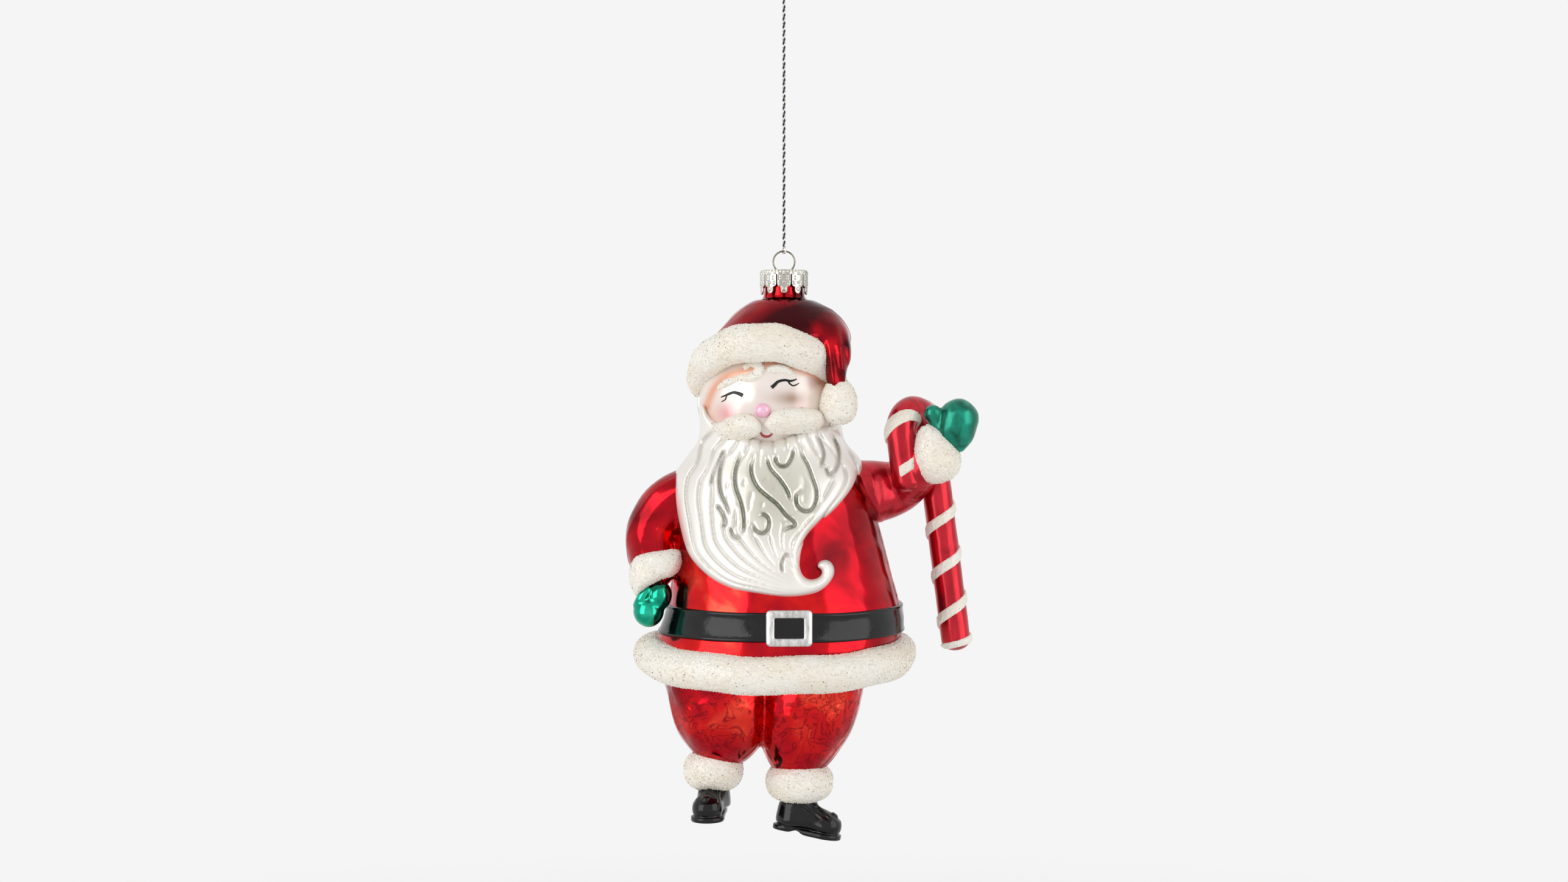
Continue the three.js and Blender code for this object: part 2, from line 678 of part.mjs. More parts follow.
function face() {
  const bow = (value) => Math.sign(value) * Math.abs(value) ** 0.7; // squarer than an ellipse
  const turns = Array.from({ length: 16 }, (_, i) => (2 * Math.PI * i) / 16);
  const oval = turns.map((turn) => [
    faceHalfWidth * bow(Math.cos(turn)),
    faceAboveHead + faceHalfHeight * bow(Math.sin(turn)),
  ]);
  return solid(headForm(formSides), seatGap + faceThickness)
    .intersect(headCutter(oval, 0))
    .subtract(seat)
    .subtract(solid(brimForm(), seatGap))
    .subtract(solid(pomForm(), seatGap))
    .subtract(beardCutter(seatGap))
    .subtract(moustacheCutter(seatGap));
}

function nose() {
  return noseSolid(0).subtract(solid(headForm(formSides), faceTop));
}

function beard() {
  const outer = solid(coatForm(formSides), seatGap + beardThickness)
    .add(solid(headForm(formSides), seatGap + beardThickness))
    .add(solid(sleeveForm(Math.round(formSides * 0.6)), seatGap + beardThickness / 2));
  return outer
    .intersect(beardCutter(0))
    .subtract(seat)
    .subtract(moustacheCutter(seatGap))
    .subtract(solid(raisedArmForm(), seatGap))
    .subtract(solid(brimForm(), seatGap))
    .subtract(solid(pomForm(), seatGap));
}

function moustache(shape) {
  return solid(headForm(formSides), seatGap + moustacheThickness)
    .intersect(headCutter(shape, 0))
    .subtract(seat)
    .subtract(solid(brimForm(), seatGap))
    .subtract(solid(pomForm(), seatGap))
    .subtract(noseSolid(seatGap));
}

function brow(inner, outer) {
  const [dx, dz] = [outer[0] - inner[0], outer[1] - inner[1]];
  const length = Math.hypot(dx, dz);
  const [sx, sz] = [(-dz / length) * (browWidth / 2), (dx / length) * (browWidth / 2)];
  const middle = [(inner[0] + outer[0]) / 2, (inner[1] + outer[1]) / 2 + 0.4];
  const outline = [
    inner,
    [inner[0] + sx, inner[1] + sz],
    [middle[0] + sx * 1.2, middle[1] + sz * 1.2],
    outer,
    [middle[0] - sx, middle[1] - sz],
    [inner[0] - sx, inner[1] - sz],
  ];
  return solid(headForm(formSides), faceTop + browThickness)
    .intersect(headCutter(outline, 0))
    .subtract(solid(headForm(formSides), faceTop))
    .subtract(solid(brimForm(), seatGap))
    .subtract(seat);
}

function forelock() {
  return solid(headForm(formSides), faceTop + browThickness * 1.5)
    .intersect(headCutter(forelockShape, 0))
    .subtract(solid(headForm(formSides), faceTop))
    .subtract(solid(brimForm(), seatGap))
    .subtract(seat);
}

function backHair() {
  const behind = solid(box(cutterReach, cutterReach, hairBelowHead + brimAboveHead,
    headX, cutterReach / 2 + seatGap, headHeight + (brimAboveHead - hairBelowHead) / 2));
  return solid(headForm(formSides), seatGap + hairThickness)
    .intersect(behind)
    .subtract(seat)
    .subtract(solid(brimForm(), seatGap));
}

// Hip hand
const hipHandAxis = hipWrist.clone().sub(hipElbow);
const hipCuffCentre = hipWrist.clone().addScaledVector(hipHandAxis.clone().normalize(), -0.6);
const hipCuffForm = () => egg(hipCuffCentre, hipHandAxis, wristRadius + cuffFur, cuffHalfLength);

function hipCuff() {
  return solid(hipCuffForm()).subtract(seat);
}

function hipMitten() {
  const foot = hipWrist.z - mittenLength;
  const hand = limb([
    [hipWrist.x - 0.4, hipWrist.y - 1.2, hipWrist.z - 2.5, mittenRadius * 0.8],
    [hipWrist.x - 0.8, hipWrist.y - 1.6, (hipWrist.z + foot) / 2, mittenRadius],
    [hipWrist.x - 1.0, hipWrist.y - 0.8, foot + mittenRadius, mittenRadius * 0.9],
  ], 12, 5);
  const overBelt = solid(coatForm(formSides), seatGap + beltThickness + seatGap);
  return solid(hand).subtract(solid(hipCuffForm(), seatGap)).subtract(overBelt);
}

// Raised arm with its cane. The arm is blown on its own and glued to the shoulder.
const coatSide = coatLean + shoulderHalfWidth + 3;
const raisedRoot = point(coatSide - raisedShoulderRadius, 2, shoulderHeight - raisedBelowShoulder);
const raisedWrist = point(coatSide + raisedReach, -3.6, raisedRoot.z + raisedWristRise);
const raisedElbow = point((coatSide + raisedWrist.x) / 2, 5.5, raisedRoot.z + 0.8);
const raisedStations = (thinner) => [
  [raisedRoot.x, raisedRoot.y, raisedRoot.z, raisedShoulderRadius - thinner],
  [coatSide + 2, 4.4, raisedRoot.z - 0.2, raisedShoulderRadius - thinner, 0.92],
  [raisedElbow.x, raisedElbow.y, raisedElbow.z, raisedElbowRadius - thinner, 0.86],
];

function raisedArmForm() {
  return limb([
    ...raisedStations(0),
    [raisedWrist.x - 2, raisedWrist.y + 2.0, raisedWrist.z - 3.4, wristRadius + 0.8],
    [raisedWrist.x, raisedWrist.y, raisedWrist.z, wristRadius - 0.4],
  ], 14, 8);
}

const caneSide = point(-Math.cos(radians(caneTurn)), -Math.sin(radians(caneTurn)), 0);
const caneUp = point(-Math.sin(radians(caneLean)), 0, Math.cos(radians(caneLean)));

function canePath() {
  const foot = point(caneFootX, raisedWrist.y + caneBehindHand, hemHeight + caneFootAboveHem);
  const up = caneUp;
  const side = caneSide.clone().addScaledVector(up, -caneSide.dot(up)).normalize();
  const top = foot.clone().addScaledVector(up, caneShaftLength);
  const middle = top.clone().addScaledVector(side, caneHookRadius);
  const points = [];
  for (let i = 0; i < 10; i++) points.push(foot.clone().lerp(top, i / 10));
  for (let i = 0; i <= 10; i++) {
    const angle = (Math.PI * i) / 10;
    points.push(middle.clone()
      .addScaledVector(side, -caneHookRadius * Math.cos(angle))
      .addScaledVector(up, caneHookRadius * Math.sin(angle)));
  }
  const tip = middle.clone().addScaledVector(side, caneHookRadius);
  for (let i = 1; i <= 3; i++) points.push(tip.clone().addScaledVector(up, (-caneTipLength * i) / 3));
  return new THREE.CatmullRomCurve3(points);
}

const caneSteps = 36; // sections along the cane
const caneCurve = canePath();
const caneTube = caneCurve.getLength();

// Directions round the cane at a share of its length, free of twist in the plane of its hook.
function caneFrame(share) {
  const tangent = caneCurve.getTangentAt(share);
  const across = caneSide.clone().cross(caneUp).normalize();
  return { centre: caneCurve.getPointAt(share), across, inward: across.clone().cross(tangent) };
}

function caneForm(radius) {
  const rings = [];
  const section = (share, along, size) => {
    const { centre, across, inward } = caneFrame(share);
    centre.addScaledVector(caneCurve.getTangentAt(share), along * radius);
    return Array.from({ length: 10 }, (_, k) => {
      const angle = (2 * Math.PI * k) / 10;
      return centre.clone()
        .addScaledVector(across, Math.cos(angle) * radius * size)
        .addScaledVector(inward, Math.sin(angle) * radius * size);
    });
  };
  rings.push(section(0, -0.94, 0.34), section(0, -0.64, 0.77));
  for (let i = 0; i <= caneSteps; i++) rings.push(section(i / caneSteps, 0, 1));
  rings.push(section(1, 0.64, 0.77), section(1, 0.94, 0.34));
  return loft(rings);
}

const caneClearance = caneRadius + stripeSeat + stripeThickness + seatGap;

function caneStripe() {
  const girth = 2 * Math.PI * caneRadius;
  const halfAlong = stripeWidth / 2 / Math.cos(Math.atan(stripeLead / girth)) / caneTube;
  const margin = halfAlong + stripeEnd / caneTube;
  const steps = Math.round((9 * caneTube) / stripeLead);
  const inner = caneRadius + stripeSeat;
  const rings = [];
  for (let i = 0; i <= steps; i++) {
    const share = margin + ((1 - 2 * margin) * i) / steps;
    const turn = stripeStart - (2 * Math.PI * share * caneTube) / stripeLead;
    const corner = (shift, reach) => {
      const { centre, across, inward } = caneFrame(share + shift);
      return centre
        .addScaledVector(across, Math.cos(turn) * reach)
        .addScaledVector(inward, Math.sin(turn) * reach);
    };
    rings.push([
      corner(-halfAlong, inner),
      corner(halfAlong, inner),
      corner(halfAlong, inner + stripeThickness),
      corner(-halfAlong, inner + stripeThickness),
    ]);
  }
  return loft(rings);
}

const caneSpace = solid(caneForm(caneClearance));

function raisedArm() {
  const cavity = solid(limb(raisedStations(glassWall), 10, 4));
  return solid(raisedArmForm()).subtract(cavity).subtract(seat).subtract(caneSpace);
}

const raisedAxis = point(-0.32, -0.1, 1);
const raisedCuffCentre = raisedWrist.clone().add(point(2.1, -0.9, 0.3));
const raisedCuffForm = () =>
  egg(raisedCuffCentre, raisedAxis, wristRadius + raisedCuffFur, cuffHalfLength + raisedCuffFlare);

function raisedCuff() {
  return solid(raisedCuffForm()).subtract(solid(raisedArmForm(), seatGap)).subtract(caneSpace);
}

function raisedMitten() {
  const palm = raisedCuffCentre.clone().add(point(5.5, -0.3, 8.9));
  const hand = limb([
    [raisedCuffCentre.x + 3.4, raisedCuffCentre.y - 0.1, raisedCuffCentre.z + 2.9, mittenRadius * 0.6],
    [palm.x - 1.1, palm.y, palm.z - 2.9, mittenRadius, 0.88],
    [palm.x, palm.y, palm.z, mittenRadius * 1.12, 0.85],
  ], 14, 5);
  const thumb = limb([
    [raisedCuffCentre.x + 2.1, raisedCuffCentre.y - 0.4, raisedCuffCentre.z + 5.4, thumbRadius],
    [raisedCuffCentre.x - 1.0, raisedCuffCentre.y - 0.5, raisedCuffCentre.z + 10.2, thumbRadius],
  ], 10, 3);
  return solid(hand)
    .add(solid(thumb))
    .subtract(solid(raisedCuffForm(), seatGap))
    .subtract(caneSpace)
    .subtract(solid(raisedArmForm(), seatGap));
}

// Crown cap of thin sheet, cut into petals that end in round tabs
function ornamentCap() {
  const skirtFoot = capTop - capSkirt - petalTab;
  const profile = [
    [0, capTop],
    [capRadius - 0.7, capTop],
    [capRadius - 0.15, capTop - 0.25],
    [capRadius, capTop - 0.8],
    [capRadius, skirtFoot],
    [capRadius - capWall, skirtFoot],
    [capRadius - capWall, capTop - 1.0],
    [capRadius - capWall - 0.5, capTop - capWall],
    [0, capTop - capWall],
  ].map(([x, y]) => new THREE.Vector2(x, y));
  const shell = new THREE.LatheGeometry(profile, 3 * petalCount);
  shell.rotateX(Math.PI / 2);
  let cap = solid(closedForm(shell));
  const shoulder = capTop - capSkirt;
  const pitch = (2 * Math.PI * capRadius) / petalCount;
  const half = (pitch - petalTabWidth) / 2;
  const gap = petalSlot / 2;
  for (let i = 0; i < petalCount; i++) {
    const shape = new THREE.Shape();
    shape.moveTo(-gap, capTop - petalRoot);
    shape.lineTo(-gap, shoulder + 0.5);
    shape.lineTo(-gap - 0.25, shoulder + 0.12);
    shape.lineTo(-half, shoulder);
    shape.lineTo(-half, shoulder - petalTab + 0.6);
    shape.lineTo(-half - 0.5, shoulder - petalTab - 0.2);
    shape.lineTo(half + 0.5, shoulder - petalTab - 0.2);
    shape.lineTo(half, shoulder - petalTab + 0.6);
    shape.lineTo(half, shoulder);
    shape.lineTo(gap + 0.25, shoulder + 0.12);
    shape.lineTo(gap, shoulder + 0.5);
    shape.lineTo(gap, capTop - petalRoot);
    const cutter = new THREE.ExtrudeGeometry(shape, { depth: capRadius + 2, bevelEnabled: false });
    cutter.rotateX(Math.PI / 2);
    cutter.rotateZ((2 * Math.PI * (i + 0.5)) / petalCount);
    cap = cap.subtract(solid(closedForm(cutter)));
  }
  for (const side of [-1, 1]) {
    const hole = new THREE.CylinderGeometry(wireHoleRadius, wireHoleRadius, 2, 12);
    hole.rotateX(Math.PI / 2);
    hole.translate(side * wireLegX, 0, capTop);
    cap = cap.subtract(solid(closedForm(hole)));
  }
  return cap;
}

// A thin wire or thread of round section along points, with square ends
function strand(points, radius, sides, steps, endless = false) {
  const path = new THREE.CatmullRomCurve3(points, endless);
  const frames = path.computeFrenetFrames(steps, endless);
  const rings = [];
  for (let i = 0; i <= steps - (endless ? 1 : 0); i++) {
    const centre = path.getPointAt(i / steps);
    rings.push(Array.from({ length: sides }, (_, k) => {
      const angle = (2 * Math.PI * k) / sides;
      return centre.clone()
        .addScaledVector(frames.normals[i], Math.cos(angle) * radius)
        .addScaledVector(frames.binormals[i], Math.sin(angle) * radius);
    }));
  }
  return solid(loft(rings, endless));
}

function wireHanger() {
  const points = [];
  const opening = Math.asin(wireLegX / ringRadius);
  const legTipX = neckRadius - glassWall - seatGap - wireRadius;
  const tipHeight = capTop - legReach;
  const kneeHeight = capTop - legStraight;
  const leg = (side) => [
    point(side * legTipX, 0, tipHeight),
    point(side * (wireLegX + (legTipX - wireLegX) * 0.55), 0, (tipHeight + kneeHeight) / 2),
    point(side * wireLegX, 0, kneeHeight),
    point(side * wireLegX, 0, (kneeHeight + capTop) / 2),
    point(side * wireLegX, 0, capTop - 0.4),
  ];
  points.push(...leg(-1));
  for (let i = 0; i <= 14; i++) {
    const angle = Math.PI + opening + (i / 14) * (2 * Math.PI - 2 * opening);
    points.push(point(Math.sin(angle) * ringRadius, 0, ringCentre + Math.cos(angle) * ringRadius));
  }
  points.push(...leg(1).reverse());
  return strand(points, wireRadius, 6, 48);
}

// Cord: a bight under the ring's top, the twisted length, a knot and the hanging loop
function cordHitch() {
  const foot = ringTop;
  const out = point(Math.sin(radians(40)), -Math.cos(radians(40)), 0);
  const at = (across, height) => point(0, 0, foot + height).addScaledVector(out, across);
  const top = bightRadius + threadRadius;
  return strand([
    at(0.1, top + 0.1),
    at(bightRadius, 0.25),
    at(bightRadius * 0.75, -bightRadius * 0.75),
    at(0, -bightRadius),
    at(-bightRadius * 0.75, -bightRadius * 0.75),
    at(-bightRadius, 0.25),
    at(-0.1, top + 0.1),
  ], threadRadius, 6, 16, true);
}

function hangingCord() {
  const steps = 33;
  const foot = cordFoot + cordEndGap;
  const points = Array.from({ length: 4 }, (_, i) => point(0, 0, foot + (cordLength * i) / 3));
  return strand(points, cordRadius, 8, steps);
}

function cordKnot() {
  return solid(egg(point(0, 0, knotHeight), point(0, 0, 1), knotRadius, knotRadius, 12, 8));
}

function hangingLoop() {
  const foot = knotHeight + knotRadius + seatGap + threadRadius;
  const height = loopTop - threadRadius - foot;
  return strand([
    point(0, 0, foot),
    point(-loopHalfWidth * 0.7, 0, foot + height * 0.35),
    point(-loopHalfWidth, 0, foot + height * 0.68),
    point(0, 0, foot + height),
    point(loopHalfWidth, 0, foot + height * 0.68),
    point(loopHalfWidth * 0.7, 0, foot + height * 0.35),
  ], threadRadius, 6, 24, true);
}

// Finishes
const finish = (color, roughness, metalness) =>
  new THREE.MeshStandardMaterial({ color, roughness, metalness });
const redGlass = finish("#b3122a", 0.08, 0.9);
const pearlSkin = finish("#f3d3bd", 0.3, 0.1);
const pearlBeard = finish("#f1ede4", 0.32, 0.25);
const glitter = finish("#efe9dc", 0.7, 0.1);
const blackGloss = finish("#0d0d0f", 0.15, 0.1);
const silverPaint = finish("#c9c6bf", 0.35, 0.8);
const greenGlass = finish("#0f7a4a", 0.08, 0.9);
const nickel = finish("#d8d5cc", 0.2, 1.0);
const metallicThread = finish("#a9a8a4", 0.4, 0.8);
const pinkPearl = finish("#e9a78f", 0.25, 0.2);

const figureGroup = new THREE.Group();

function addPiece(name, manifold, material) {
  const geometry = mainBody(manifold);
  geometry.computeVertexNormals();
  const mesh = new THREE.Mesh(geometry, material);
  mesh.name = name;
  figureGroup.add(mesh);
}

addPiece("figure_glass", figureGlass(), redGlass);
addPiece("face", face(), pearlSkin);
addPiece("nose", nose(), pinkPearl);
addPiece("eyebrow_left", brow([-8.0, 5.8], [-13.4, 3.6]), glitter);
addPiece("eyebrow_right", brow([0.6, 8.2], [7.2, 6.2]), glitter);
addPiece("forelock", forelock(), glitter);
addPiece("moustache_left", moustache(leftMoustacheShape), glitter);
addPiece("moustache_right", moustache(rightMoustacheShape), glitter);
addPiece("beard", beard(), pearlBeard);
addPiece("back_hair", backHair(), pearlBeard);
addPiece("hat_brim", solid(brimForm()).subtract(seat), glitter);
addPiece("pompom", solid(pomForm()).subtract(seat), glitter);
addPiece("belt", belt(), blackGloss);
addPiece("belt_buckle", beltBuckle(), silverPaint);
addPiece("coat_hem", solid(hemForm()).subtract(seat), glitter);
addPiece("trouser_cuff_left", trouserCuff(leftCuffX, leftCuffRise, leftCuffRadius, leftBoot), glitter);
addPiece("trouser_cuff_right", trouserCuff(rightCuffX, rightCuffRise, rightCuffRadius, rightBoot), glitter);
addPiece("boot_left", leftBoot(0).subtract(seat), blackGloss);
addPiece("boot_right", rightBoot(0).subtract(seat), blackGloss);
addPiece("hip_cuff", hipCuff(), glitter);
addPiece("hip_mitten", hipMitten(), greenGlass);
addPiece("raised_arm", raisedArm(), redGlass);
addPiece("raised_cuff", raisedCuff(), glitter);
addPiece("raised_mitten", raisedMitten(), greenGlass);
addPiece("candy_cane", solid(caneForm(caneRadius)), redGlass);
addPiece("cane_stripe", solid(caneStripe()), glitter);
addPiece("ornament_cap", ornamentCap(), nickel);
addPiece("wire_hanger", wireHanger(), nickel);
addPiece("cord_hitch", cordHitch(), metallicThread);
addPiece("hanging_cord", hangingCord(), metallicThread);
addPiece("cord_knot", cordKnot(), metallicThread);
addPiece("hanging_loop", hangingLoop(), metallicThread);

figureGroup.position.set(0, 0, -loopTop);

const ornament = new THREE.Group();
ornament.add(figureGroup);

export default ornament;
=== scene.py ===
import math

import bpy
import numpy as np
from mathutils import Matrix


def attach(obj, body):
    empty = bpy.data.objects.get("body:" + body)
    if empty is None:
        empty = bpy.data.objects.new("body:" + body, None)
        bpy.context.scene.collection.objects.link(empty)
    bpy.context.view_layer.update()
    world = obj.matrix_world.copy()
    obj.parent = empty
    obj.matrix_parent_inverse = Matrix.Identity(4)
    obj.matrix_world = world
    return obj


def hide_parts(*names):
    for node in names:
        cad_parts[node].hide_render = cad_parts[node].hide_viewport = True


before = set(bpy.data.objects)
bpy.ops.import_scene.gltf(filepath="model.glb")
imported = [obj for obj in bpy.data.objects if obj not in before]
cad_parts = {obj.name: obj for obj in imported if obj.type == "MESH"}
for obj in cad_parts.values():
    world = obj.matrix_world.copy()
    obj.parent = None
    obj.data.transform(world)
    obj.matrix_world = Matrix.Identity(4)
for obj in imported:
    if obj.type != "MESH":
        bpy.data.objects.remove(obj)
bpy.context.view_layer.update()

# Everything is worked out in millimetres, with heights above the lower boot's sole.
# The frame's origin is the top of the hanging loop, this far above that sole.
loopTopHeight = 233.305
viewDistance = 700.0  # camera to the figure's middle
viewHeight = 102.8  # camera height
chance = np.random.default_rng(24)


def toFrame(points):
    placed = np.array(points, dtype=float).reshape(-1, 3) * 0.001
    placed[:, 2] -= loopTopHeight * 0.001
    return placed


# Camera, level with the beard
cameraData = bpy.data.cameras.new("camera")
cameraData.sensor_width = 36
cameraData.lens = 62.1  # the figure fills the height of the frame
camera = bpy.data.objects.new("camera", cameraData)
camera.location = toFrame([0, -viewDistance, viewHeight])[0]
camera.rotation_euler = (math.pi / 2, 0, 0)
bpy.context.scene.collection.objects.link(camera)
bpy.context.scene.camera = camera


# Colours and nodes
def colourOf(code):
    channels = [int(code[i:i + 2], 16) / 255 for i in (1, 3, 5)]
    linear = [c / 12.92 if c <= 0.04045 else ((c + 0.055) / 1.055) ** 2.4 for c in channels]
    return (*linear, 1.0)


def addNode(tree, kind, inputs=None, stops=(), into=None, **settings):
    node = tree.nodes.new("ShaderNode" + kind)
    for name, value in settings.items():
        setattr(node, name, value)
    for k, (position, code) in enumerate(stops):
        elements = node.color_ramp.elements
        mark = elements[k] if k < len(elements) else elements.new(position)
        mark.position = position
        mark.color = colourOf(code) if isinstance(code, str) else (code, code, code, 1)
    for socket, value in (inputs or {}).items():
        if isinstance(value, bpy.types.NodeSocket):
            tree.links.new(value, node.inputs[socket])
        else:
            node.inputs[socket].default_value = value
    for output, socket in (into or {}).items():
        tree.links.new(node.outputs[output], socket)
    return node


# Labels name the values that the finish reads from the mesh that wears it
def newMaterial(name, slot, surface, *labels):
    material = bpy.data.materials.new(name)
    material.use_nodes = True
    tree = material.node_tree
    shader = tree.nodes["Principled BSDF"]
    for socket, value in surface.items():
        shader.inputs[socket].default_value = value
    place = addNode(tree, "TexCoord").outputs["Object"]
    painted = [addNode(tree, "Attribute", attribute_name=label).outputs["Fac"] for label in labels]
    return (material, tree, shader, place, *painted)


# Meshes
def unit(v):
    return v / np.maximum(np.linalg.norm(v, axis=-1, keepdims=True), 1e-9)


def limited(v):
    return np.clip(v, 0, 1)


def bell(v, width):
    return np.exp(-(v / width) ** 2)


def addMesh(name, points, faces, material, node=None, body="figure", flat=False, faceValues=None, pointValues=None):
    points = toFrame(points)
    faces = np.asarray(faces, dtype=np.int32)
    mesh = bpy.data.meshes.new(name)
    mesh.vertices.add(len(points))
    mesh.vertices.foreach_set("co", points.ravel())
    mesh.loops.add(faces.size)
    mesh.loops.foreach_set("vertex_index", faces.ravel())
    mesh.polygons.add(len(faces))
    mesh.polygons.foreach_set("loop_start", np.arange(0, faces.size, faces.shape[1], dtype=np.int32))
    mesh.polygons.foreach_set("use_smooth", np.full(len(faces), not flat))
    mesh.update(calc_edges=True)
    mesh.validate()
    for domain, named in (("FACE", faceValues), ("POINT", pointValues)):
        for label, values in (named or {}).items():
            layer = mesh.attributes.new(label, "FLOAT", domain)
            layer.data.foreach_set("value", np.asarray(values, dtype=np.float32))
    mesh.materials.append(material)
    piece = bpy.data.objects.new(name, mesh)
    bpy.context.scene.collection.objects.link(piece)
    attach(piece, body)
    if node:
        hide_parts(node)
    return piece


def joinParts(parts):
    points, faces, start = [], [], 0
    for some, loops in parts:
        points.append(np.asarray(some, dtype=float))
        faces.append((toTriangles(loops) if loops.shape[1] == 4 else loops) + start)
        start += len(some)
    return np.concatenate(points), np.concatenate(faces)


def toTriangles(faces):
    return np.concatenate([faces[:, [0, 1, 2]], faces[:, [0, 2, 3]]])


def smoothLine(knots, count, closed=False):
    knots = np.asarray(knots, dtype=float)
    if closed:
        knots = np.concatenate([knots[-2:], knots, knots[:3]])
    steps = np.linalg.norm(np.diff(knots[:, :3], axis=0), axis=1)
    at = np.concatenate([[0], np.cumsum(np.maximum(steps, 1e-6) ** 0.5)])
    slopes = np.gradient(knots, at, axis=0)
    first, last = (at[2], at[-3]) if closed else (at[0], at[-1])
    wanted = np.linspace(first, last, count, endpoint=not closed)
    k = np.clip(np.searchsorted(at, wanted, side="right") - 1, 0, len(at) - 2)
    width = (at[k + 1] - at[k])[:, None]
    t = ((wanted - at[k]) / width[:, 0])[:, None]
    return ((2 * t ** 3 - 3 * t ** 2 + 1) * knots[k] + (t ** 3 - 2 * t ** 2 + t) * width * slopes[k]
            + (3 * t ** 2 - 2 * t ** 3) * knots[k + 1] + (t ** 3 - t ** 2) * width * slopes[k + 1])


def tube(points, radii, sides=12, flatten=1.0, side=(0, 1, 0), closed=False):
    points = np.asarray(points, dtype=float)
    radii = np.broadcast_to(radii, len(points))
    along = np.roll(points, -1, axis=0) - np.roll(points, 1, axis=0) if closed else np.gradient(points, axis=0)
    along = unit(along)
    deep = unit(side - along * (along @ np.array(side, dtype=float))[:, None])
    wide = np.cross(along, deep)
    turn = np.linspace(0, 2 * np.pi, sides, endpoint=False)
    rings = (points[:, None] + radii[:, None, None]
             * (np.cos(turn)[:, None] * wide[:, None] + np.sin(turn)[:, None] * deep[:, None] * flatten))
    return skinRings(rings, closed)


def skinRings(rings, closed=False):
    count, sides = rings.shape[:2]
    points = rings.reshape(-1, 3)
    row = np.arange(count if closed else count - 1)[:, None] * sides
    ahead = (row + sides) % (count * sides)
    k = np.arange(sides)[None]
    m = (k + 1) % sides
    faces = np.stack([row + k, row + m, ahead + m, ahead + k], -1).reshape(-1, 4)
    if closed:
        return points, faces
    ends = np.array([rings[0].mean(0), rings[-1].mean(0)])
    k, m = k[0], m[0]
    last = (count - 1) * sides
    low = np.stack([m, k, np.full(sides, len(points))], -1)
    high = np.stack([last + k, last + m, np.full(sides, len(points) + 1)], -1)
    return np.concatenate([points, ends]), np.concatenate([toTriangles(faces), low, high])


# Shapes as fields: a field is below zero inside the glass and its value is roughly millimetres
def softMin(a, b, blend):
    share = limited(0.5 + 0.5 * (b - a) / blend)
    return b + (a - b) * share - blend * share * (1 - share)


def softMax(a, b, blend):
    return -softMin(-a, -b, blend)


def ball(centre, radii):
    centre, radii = np.asarray(centre, dtype=float), np.asarray(radii, dtype=float)
    return lambda p: (np.linalg.norm((p - centre) / radii, axis=1) - 1) * radii.min()


# Half width, half depth, centre x and centre y at any height between the rows
def sections(rows):
    line = smoothLine(np.array(rows, dtype=float)[:, [3, 4, 0, 1, 2]], 500)
    line = line[np.argsort(line[:, 2])]
    return lambda height: [np.interp(height, line[:, 2], line[:, k]) for k in (0, 1, 3, 4)]


def levels(rows):
    section = sections(rows)

    def field(p):
        x, y, z = p.T
        a, b, midX, midY = section(z)
        around = np.hypot((x - midX) / a, (y - midY) / b)
        return np.maximum((around - 1) * np.minimum(a, b), np.maximum(rows[0][0] - z, z - rows[-1][0]))
    return field


def limb(stations, pieces=26):
    line = smoothLine(stations, pieces + 1)
    margin = 7.0
    low = (line[:, :3] - line[:, 3:4]).min(0) - margin
    high = (line[:, :3] + line[:, 3:4]).max(0) + margin

    def field(p):
        outside = np.linalg.norm(np.maximum(np.maximum(low - p, p - high), 0), axis=1)
        best = outside + margin
        near = outside <= 0
        q = p[near]
        value = np.full(len(q), 1e3)
        for a, b in zip(line[:-1], line[1:]):
            step = b[:3] - a[:3]
            share = limited((q - a[:3]) @ step / (step @ step))
            value = np.minimum(value, np.linalg.norm(q - a[:3] - share[:, None] * step, axis=1)
                               - a[3] - share * (b[3] - a[3]))
        best[near] = value
        return best
    return field


# Slow waves between -1 and 1, about size long
def ripple(p, size, seed):
    turns = np.random.default_rng(seed)
    total = np.zeros(len(p))
    for _ in range(5):
        way = unit(turns.normal(size=3)) * 2 * np.pi / (size * (0.7 + 0.6 * turns.random()))
        total += np.sin(p @ way + turns.random() * 6.28)
    return total / 5


